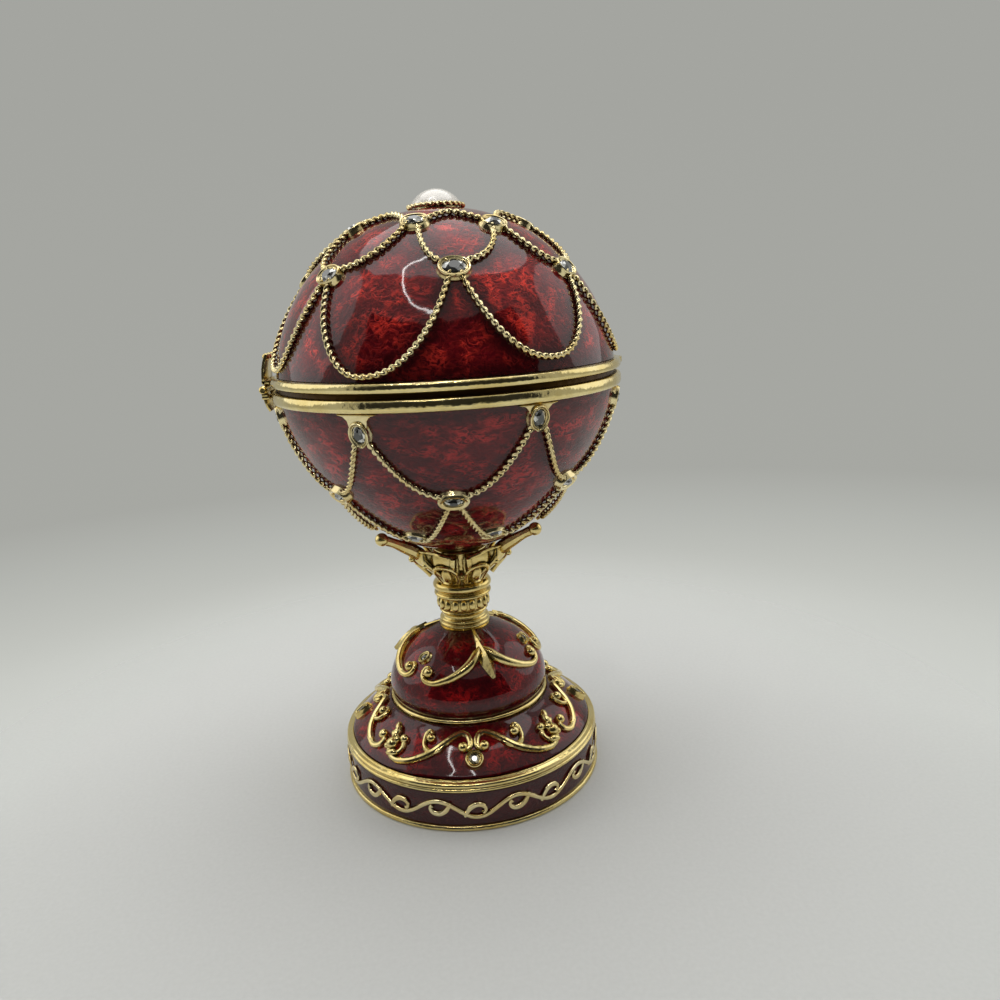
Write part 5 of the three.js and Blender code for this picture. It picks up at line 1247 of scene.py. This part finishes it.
ropes(bowl_trellis, bowl_routes)
upper_places = [frame_on("bowl", azimuth, z, 0.12) for azimuth, z in upper_spots]
mid_places = [frame_on("bowl", azimuth, z, 0.12) for azimuth, z in mid_spots]
lower_places = [frame_on("bowl", azimuth, z, 0.0) for azimuth, z in lower_spots]
MID_LIP = [(0.2, -0.35), (0.12, 0.0), (0.0, 0.35), (-0.06, 0.7), (-0.25, 0.9), (-0.55, 0.88),
           (-0.8, 0.72), (-0.95, 0.5), (-1.0, 0.15), (-1.0, -0.35)]
LOW_LIP = [(x * 0.8, z * 0.6) for x, z in LIP]
WEB = [(-3.6, 0.15), (-2.4, -0.15), (-1.75, -0.8), (-1.55, -1.9), (1.55, -1.9), (1.75, -0.8),
       (2.4, -0.15), (3.6, 0.15)]
WEB_SUNK, WEB_THICK = 0.35, 0.85


def web_plate(bm, azimuth, top_z):
    """A flat web with hollow sides, which flares from a setting up into the rim."""
    place = frame_on("bowl", azimuth, top_z, 0.0)
    part = bmesh.new()
    add_block(part, [(x, y, -WEB_SUNK) for x, y in WEB], (0, 0, WEB_THICK))
    bmesh.ops.recalc_face_normals(part, faces=part.faces)
    soften_arrises(part, 0.14, 3, 40)
    join_in(bm, part, place)


for i in range(SWAGS):
    bezel(bowl_trellis, upper_places[i], 1.75, 2.1, LIP, 32)
    bezel(bowl_trellis, mid_places[i], 2.6, 1.75, MID_LIP, 32)
    bezel(bowl_trellis, lower_places[i], 2.3, 1.75, LOW_LIP, 32)
    web_plate(bowl_trellis, upper_spots[i][0], BOWL.plane - RIM_HEIGHT - 0.25)
finish_piece("bowl_rope_work", bowl_trellis, "stand", rope_gold, ["bowl_rope_trellis"])
for i in range(SWAGS):
    upper_gem, middle_gem = crystal(upper_places[i], 1.1, 1.46), crystal(mid_places[i], 1.5, 0.78)
    finish_stone(f"bowl_upper_gem_{i + 1}", upper_gem, "stand", [f"bowl_upper_stone_{i + 1}"])
    finish_stone(f"bowl_middle_gem_{i + 1}", middle_gem, "stand", [f"bowl_middle_stone_{i + 1}"])
    finish_stone(f"bowl_lower_gem_{i + 1}", crystal(lower_places[i], 1.85, 1.3, 0.15, 0.7), "stand")
print(made[-22])

# %% Bowl skin
bowl_outer = BOWL.profile(SKIN_EDGE, 4.75, 0, 110)
bowl_under = BOWL.profile(SKIN_EDGE, 4.75, ENAMEL, 20)[::-1]
bowl_skin = finish_piece("bowl_glaze", spun(bowl_outer + bowl_under, 320), "stand", bowl_enamel_finish,
                         ["bowl_enamel"])
rope_points = [point for route in bowl_routes for point in route]
around_stones = [place.translation for place in upper_places + mid_places + lower_places]
rim_points = ring_points(30, BOWL.plane - 1.6, 240)
mark_open_part(bowl_skin, rope_points + around_stones + rim_points, 2.6, 0.05, 0.7)
print(made[-1])

# %% [markdown]
# ## Pearl and its cup
# A domed half pearl sits low in a cup with a twisted wire round it. The cup's stem stands through the
# enamel on the lid's casting.

# %% Pearl and cup
PEARL_RADIUS, PEARL_RISE, CUP_RADIUS = 4.9, 2.75, 4.7
crown = LID.plane + LID.rise
seat = crown + 0.4
cup = spun([(0, crown - 0.74), (3.6, crown - 0.74), (3.6, crown + 0.1), (4.6, crown + 0.1),
            (CUP_RADIUS, seat + 0.1), (4.5, seat + 0.2), (4.5, seat), (0, seat)], 72, 0.06)
twist = [polar(CUP_RADIUS, 360 * i / 96, seat - 0.12) for i in range(97)]
ropes(cup, [twist], 0.18, 2.2, 0.8, True)
finish_piece("pearl_cup_cast", cup, "lid", rope_gold, ["pearl_cup"])
foot, top = seat + FIT, seat + FIT + PEARL_RISE
lowest = math.asin((PEARL_RADIUS - PEARL_RISE) / PEARL_RADIUS)
turns = [lowest + (math.pi / 2 - lowest) * i / 28 for i in range(28)]
dome = [(PEARL_RADIUS * math.cos(a), top - PEARL_RADIUS + PEARL_RADIUS * math.sin(a)) for a in turns]
pearl = spun([(0, foot)] + dome + [(0, top)], 96)
finish_piece("pearl_bead", pearl, "lid", pearl_finish, ["pearl"])
print(made[-2:])

# %% [markdown]
# ## Floor and light
# The box stands on a pale, slightly speckled sheet that fades into a graded backdrop. The light is
# soft and plain, from large panels, because polished gold and glossy enamel show little but what they
# mirror. A dark card bent round the front keeps the enamel deep, and a ring lamp above leaves its
# bright loop on the lid.

# %% Floor
floor_recipe = Recipe("pale_sheet")
where = floor_recipe.node("ShaderNodeTexCoord", output="Object")
distance = floor_recipe.node("ShaderNodeVectorMath", {"operation": "LENGTH"}, {0: where}, "Value")
speckle = floor_recipe.noise(1400, 2.0)
paper = floor_recipe.mixed(speckle, (0.60, 0.605, 0.575), (0.66, 0.665, 0.635))
sheet = floor_recipe.node("ShaderNodeBsdfDiffuse", {}, {"Color": paper})
through = floor_recipe.node("ShaderNodeBsdfTransparent")
fade = floor_recipe.span(distance, 0.05, 0.15)
blend_node = floor_recipe.node("ShaderNodeMixShader", {}, {0: fade, 1: sheet, 2: through})
floor_recipe.tree.links.new(blend_node.socket, floor_recipe.end.inputs["Surface"])


def stage_sheet(name, bm, material):
    mesh = bpy.data.meshes.new(name)
    bm.to_mesh(mesh)
    bm.free()
    mesh.materials.append(material)
    sheet_object = bpy.data.objects.new(name, mesh)
    bpy.context.scene.collection.objects.link(sheet_object)
    return sheet_object


floor = bmesh.new()
bmesh.ops.create_circle(floor, cap_ends=True, segments=96, radius=0.3)
stage_sheet("pale_floor", floor, floor_recipe.material)
print("floor radius 0.3 m")

# %% Dark card
CARD_RADIUS, CARD_HALF_ANGLE, CARD_LOW, CARD_HIGH = 0.34, math.radians(58), 0.01, 0.40
card_recipe = Recipe("dark_card")
card_black = card_recipe.mixed(card_recipe.noise(60), (0.006, 0.006, 0.006), (0.012, 0.012, 0.012))
card_recipe.surface(Base_Color=card_black, Roughness=0.9)
card = bmesh.new()
card_x, card_y = -CARD_RADIUS * math.sin(CARD_HALF_ANGLE), -CARD_RADIUS * math.cos(CARD_HALF_ANGLE)
side = [card.verts.new((card_x, card_y, z)) for z in (CARD_LOW, CARD_HIGH)]
edge = card.edges.new(side)
bmesh.ops.spin(card, geom=side + [edge], cent=(0, 0, 0), axis=(0, 0, 1), angle=2 * CARD_HALF_ANGLE, steps=24)
dark_card = stage_sheet("dark_card", card, card_recipe.material)
dark_card.visible_camera = False
print("dark card bent round the front")

# %% Ring lamp
LAMP_MIDDLE, LAMP_HALF_X, LAMP_HALF_Y, LAMP_TUBE = Vector((-80, -185, 500)), 80, 150, 4.2
glow_recipe = Recipe("ring_lamp_glow")
warm = glow_recipe.mixed(glow_recipe.noise(20), (1.0, 0.97, 0.93), (1.0, 0.99, 0.97))
glow_recipe.surface(Base_Color=(0.8, 0.8, 0.8, 1), Emission_Color=warm, Emission_Strength=17.0)
hoop = bmesh.new()
turns = [t * math.pi / 24 for t in range(49)]
around = [(LAMP_MIDDLE + Vector((LAMP_HALF_X * math.cos(a), LAMP_HALF_Y * math.sin(a), 0)), LAMP_TUBE)
          for a in turns]
wires(hoop, [around], 1, 8)
bmesh.ops.scale(hoop, vec=(MM, MM, MM), verts=hoop.verts)
stage_sheet("ring_lamp", hoop, glow_recipe.material)
print("ring lamp above")

# %% Backdrop
studio = Recipe("studio", bpy.data.worlds.new("studio"))
bpy.context.scene.world = studio.material
towards = studio.node("ShaderNodeTexCoord", output="Generated")
height = studio.node("ShaderNodeSeparateXYZ", {}, {0: towards}, "Z")
backdrop = studio.ramp(height + 0.6, [(0.08, (0.580, 0.590, 0.555)), (0.15, (0.64, 0.655, 0.615)),
                                      (0.24, (0.575, 0.588, 0.55)), (0.285, (0.52, 0.53, 0.495)),
                                      (0.335, (0.455, 0.465, 0.435)), (0.39, (0.385, 0.39, 0.364)),
                                      (0.80, (0.372, 0.376, 0.352))])
rays = studio.tree.nodes.new("ShaderNodeLightPath")
plain_rays = [Wave(studio, rays.outputs[kind])
              for kind in ("Is Camera Ray", "Is Glossy Ray", "Is Transmission Ray")]
seen = studio.node("ShaderNodeBackground", {}, {"Color": backdrop, "Strength": 1.0})
room = studio.node("ShaderNodeBackground", {}, {"Color": (0.97, 0.98, 1.0, 1), "Strength": 0.60})
pick = studio.node("ShaderNodeMixShader", {}, {0: (plain_rays[0] + plain_rays[1] + plain_rays[2]).limited(),
                                               1: room, 2: seen})
studio.tree.links.new(pick.socket, studio.end.inputs["Surface"])
print("backdrop set")


# %% Soft boxes
def soft_box(name, place, aim, width, height, watts):
    lamp = bpy.data.lights.new(name, "AREA")
    lamp.shape, lamp.size, lamp.size_y, lamp.energy = "ELLIPSE", width, height, watts
    holder = bpy.data.objects.new(name, lamp)
    holder.location = place
    holder.rotation_euler = (Vector(aim) - Vector(place)).to_track_quat("-Z", "Y").to_euler()
    bpy.context.scene.collection.objects.link(holder)


soft_box("top_box", (0.02, 0.14, 0.60), (0, 0, 0.06), 0.75, 0.65, 1.55)
soft_box("left_box", (-0.50, 0.14, 0.32), (0, 0, 0.07), 0.55, 0.60, 0.62)
soft_box("right_box", (0.52, 0.16, 0.28), (0, 0, 0.06), 0.50, 0.55, 0.50)
print("3 soft boxes")

# %% [markdown]
# ## Camera
# The camera stands close in front, a little above the rim and tipped down, and leans slightly, as a
# phone held in the hand does. Its place was solved from the rims, the foot and the stones.

# %% Camera
FOCAL, CAMERA_PLACE = 798.91, (0, -0.146015, 0.089397)
pitch, yaw, roll = 0.2456, 0.0561, -0.0564
forward = Vector((math.sin(yaw) * math.cos(pitch), math.cos(yaw) * math.cos(pitch), -math.sin(pitch)))
right = Vector((math.cos(yaw), -math.sin(yaw), 0))
upward = right.cross(forward)
leaned_right = math.cos(roll) * right + math.sin(roll) * upward
leaned_up = -math.sin(roll) * right + math.cos(roll) * upward
camera_data = bpy.data.cameras.new("camera")
camera_data.sensor_width, camera_data.lens = 36.0, 36.0 * FOCAL / 1000
camera_data.clip_start, camera_data.clip_end = 0.005, 5.0
camera = bpy.data.objects.new("camera", camera_data)
turn = Matrix((leaned_right, leaned_up, -forward)).transposed().to_4x4()
camera.matrix_world = Matrix.Translation(CAMERA_PLACE) @ turn
bpy.context.scene.collection.objects.link(camera)
bpy.context.scene.camera = camera
bpy.context.scene.view_settings.view_transform = "Standard"
print("lens", round(camera_data.lens, 2), "mm")
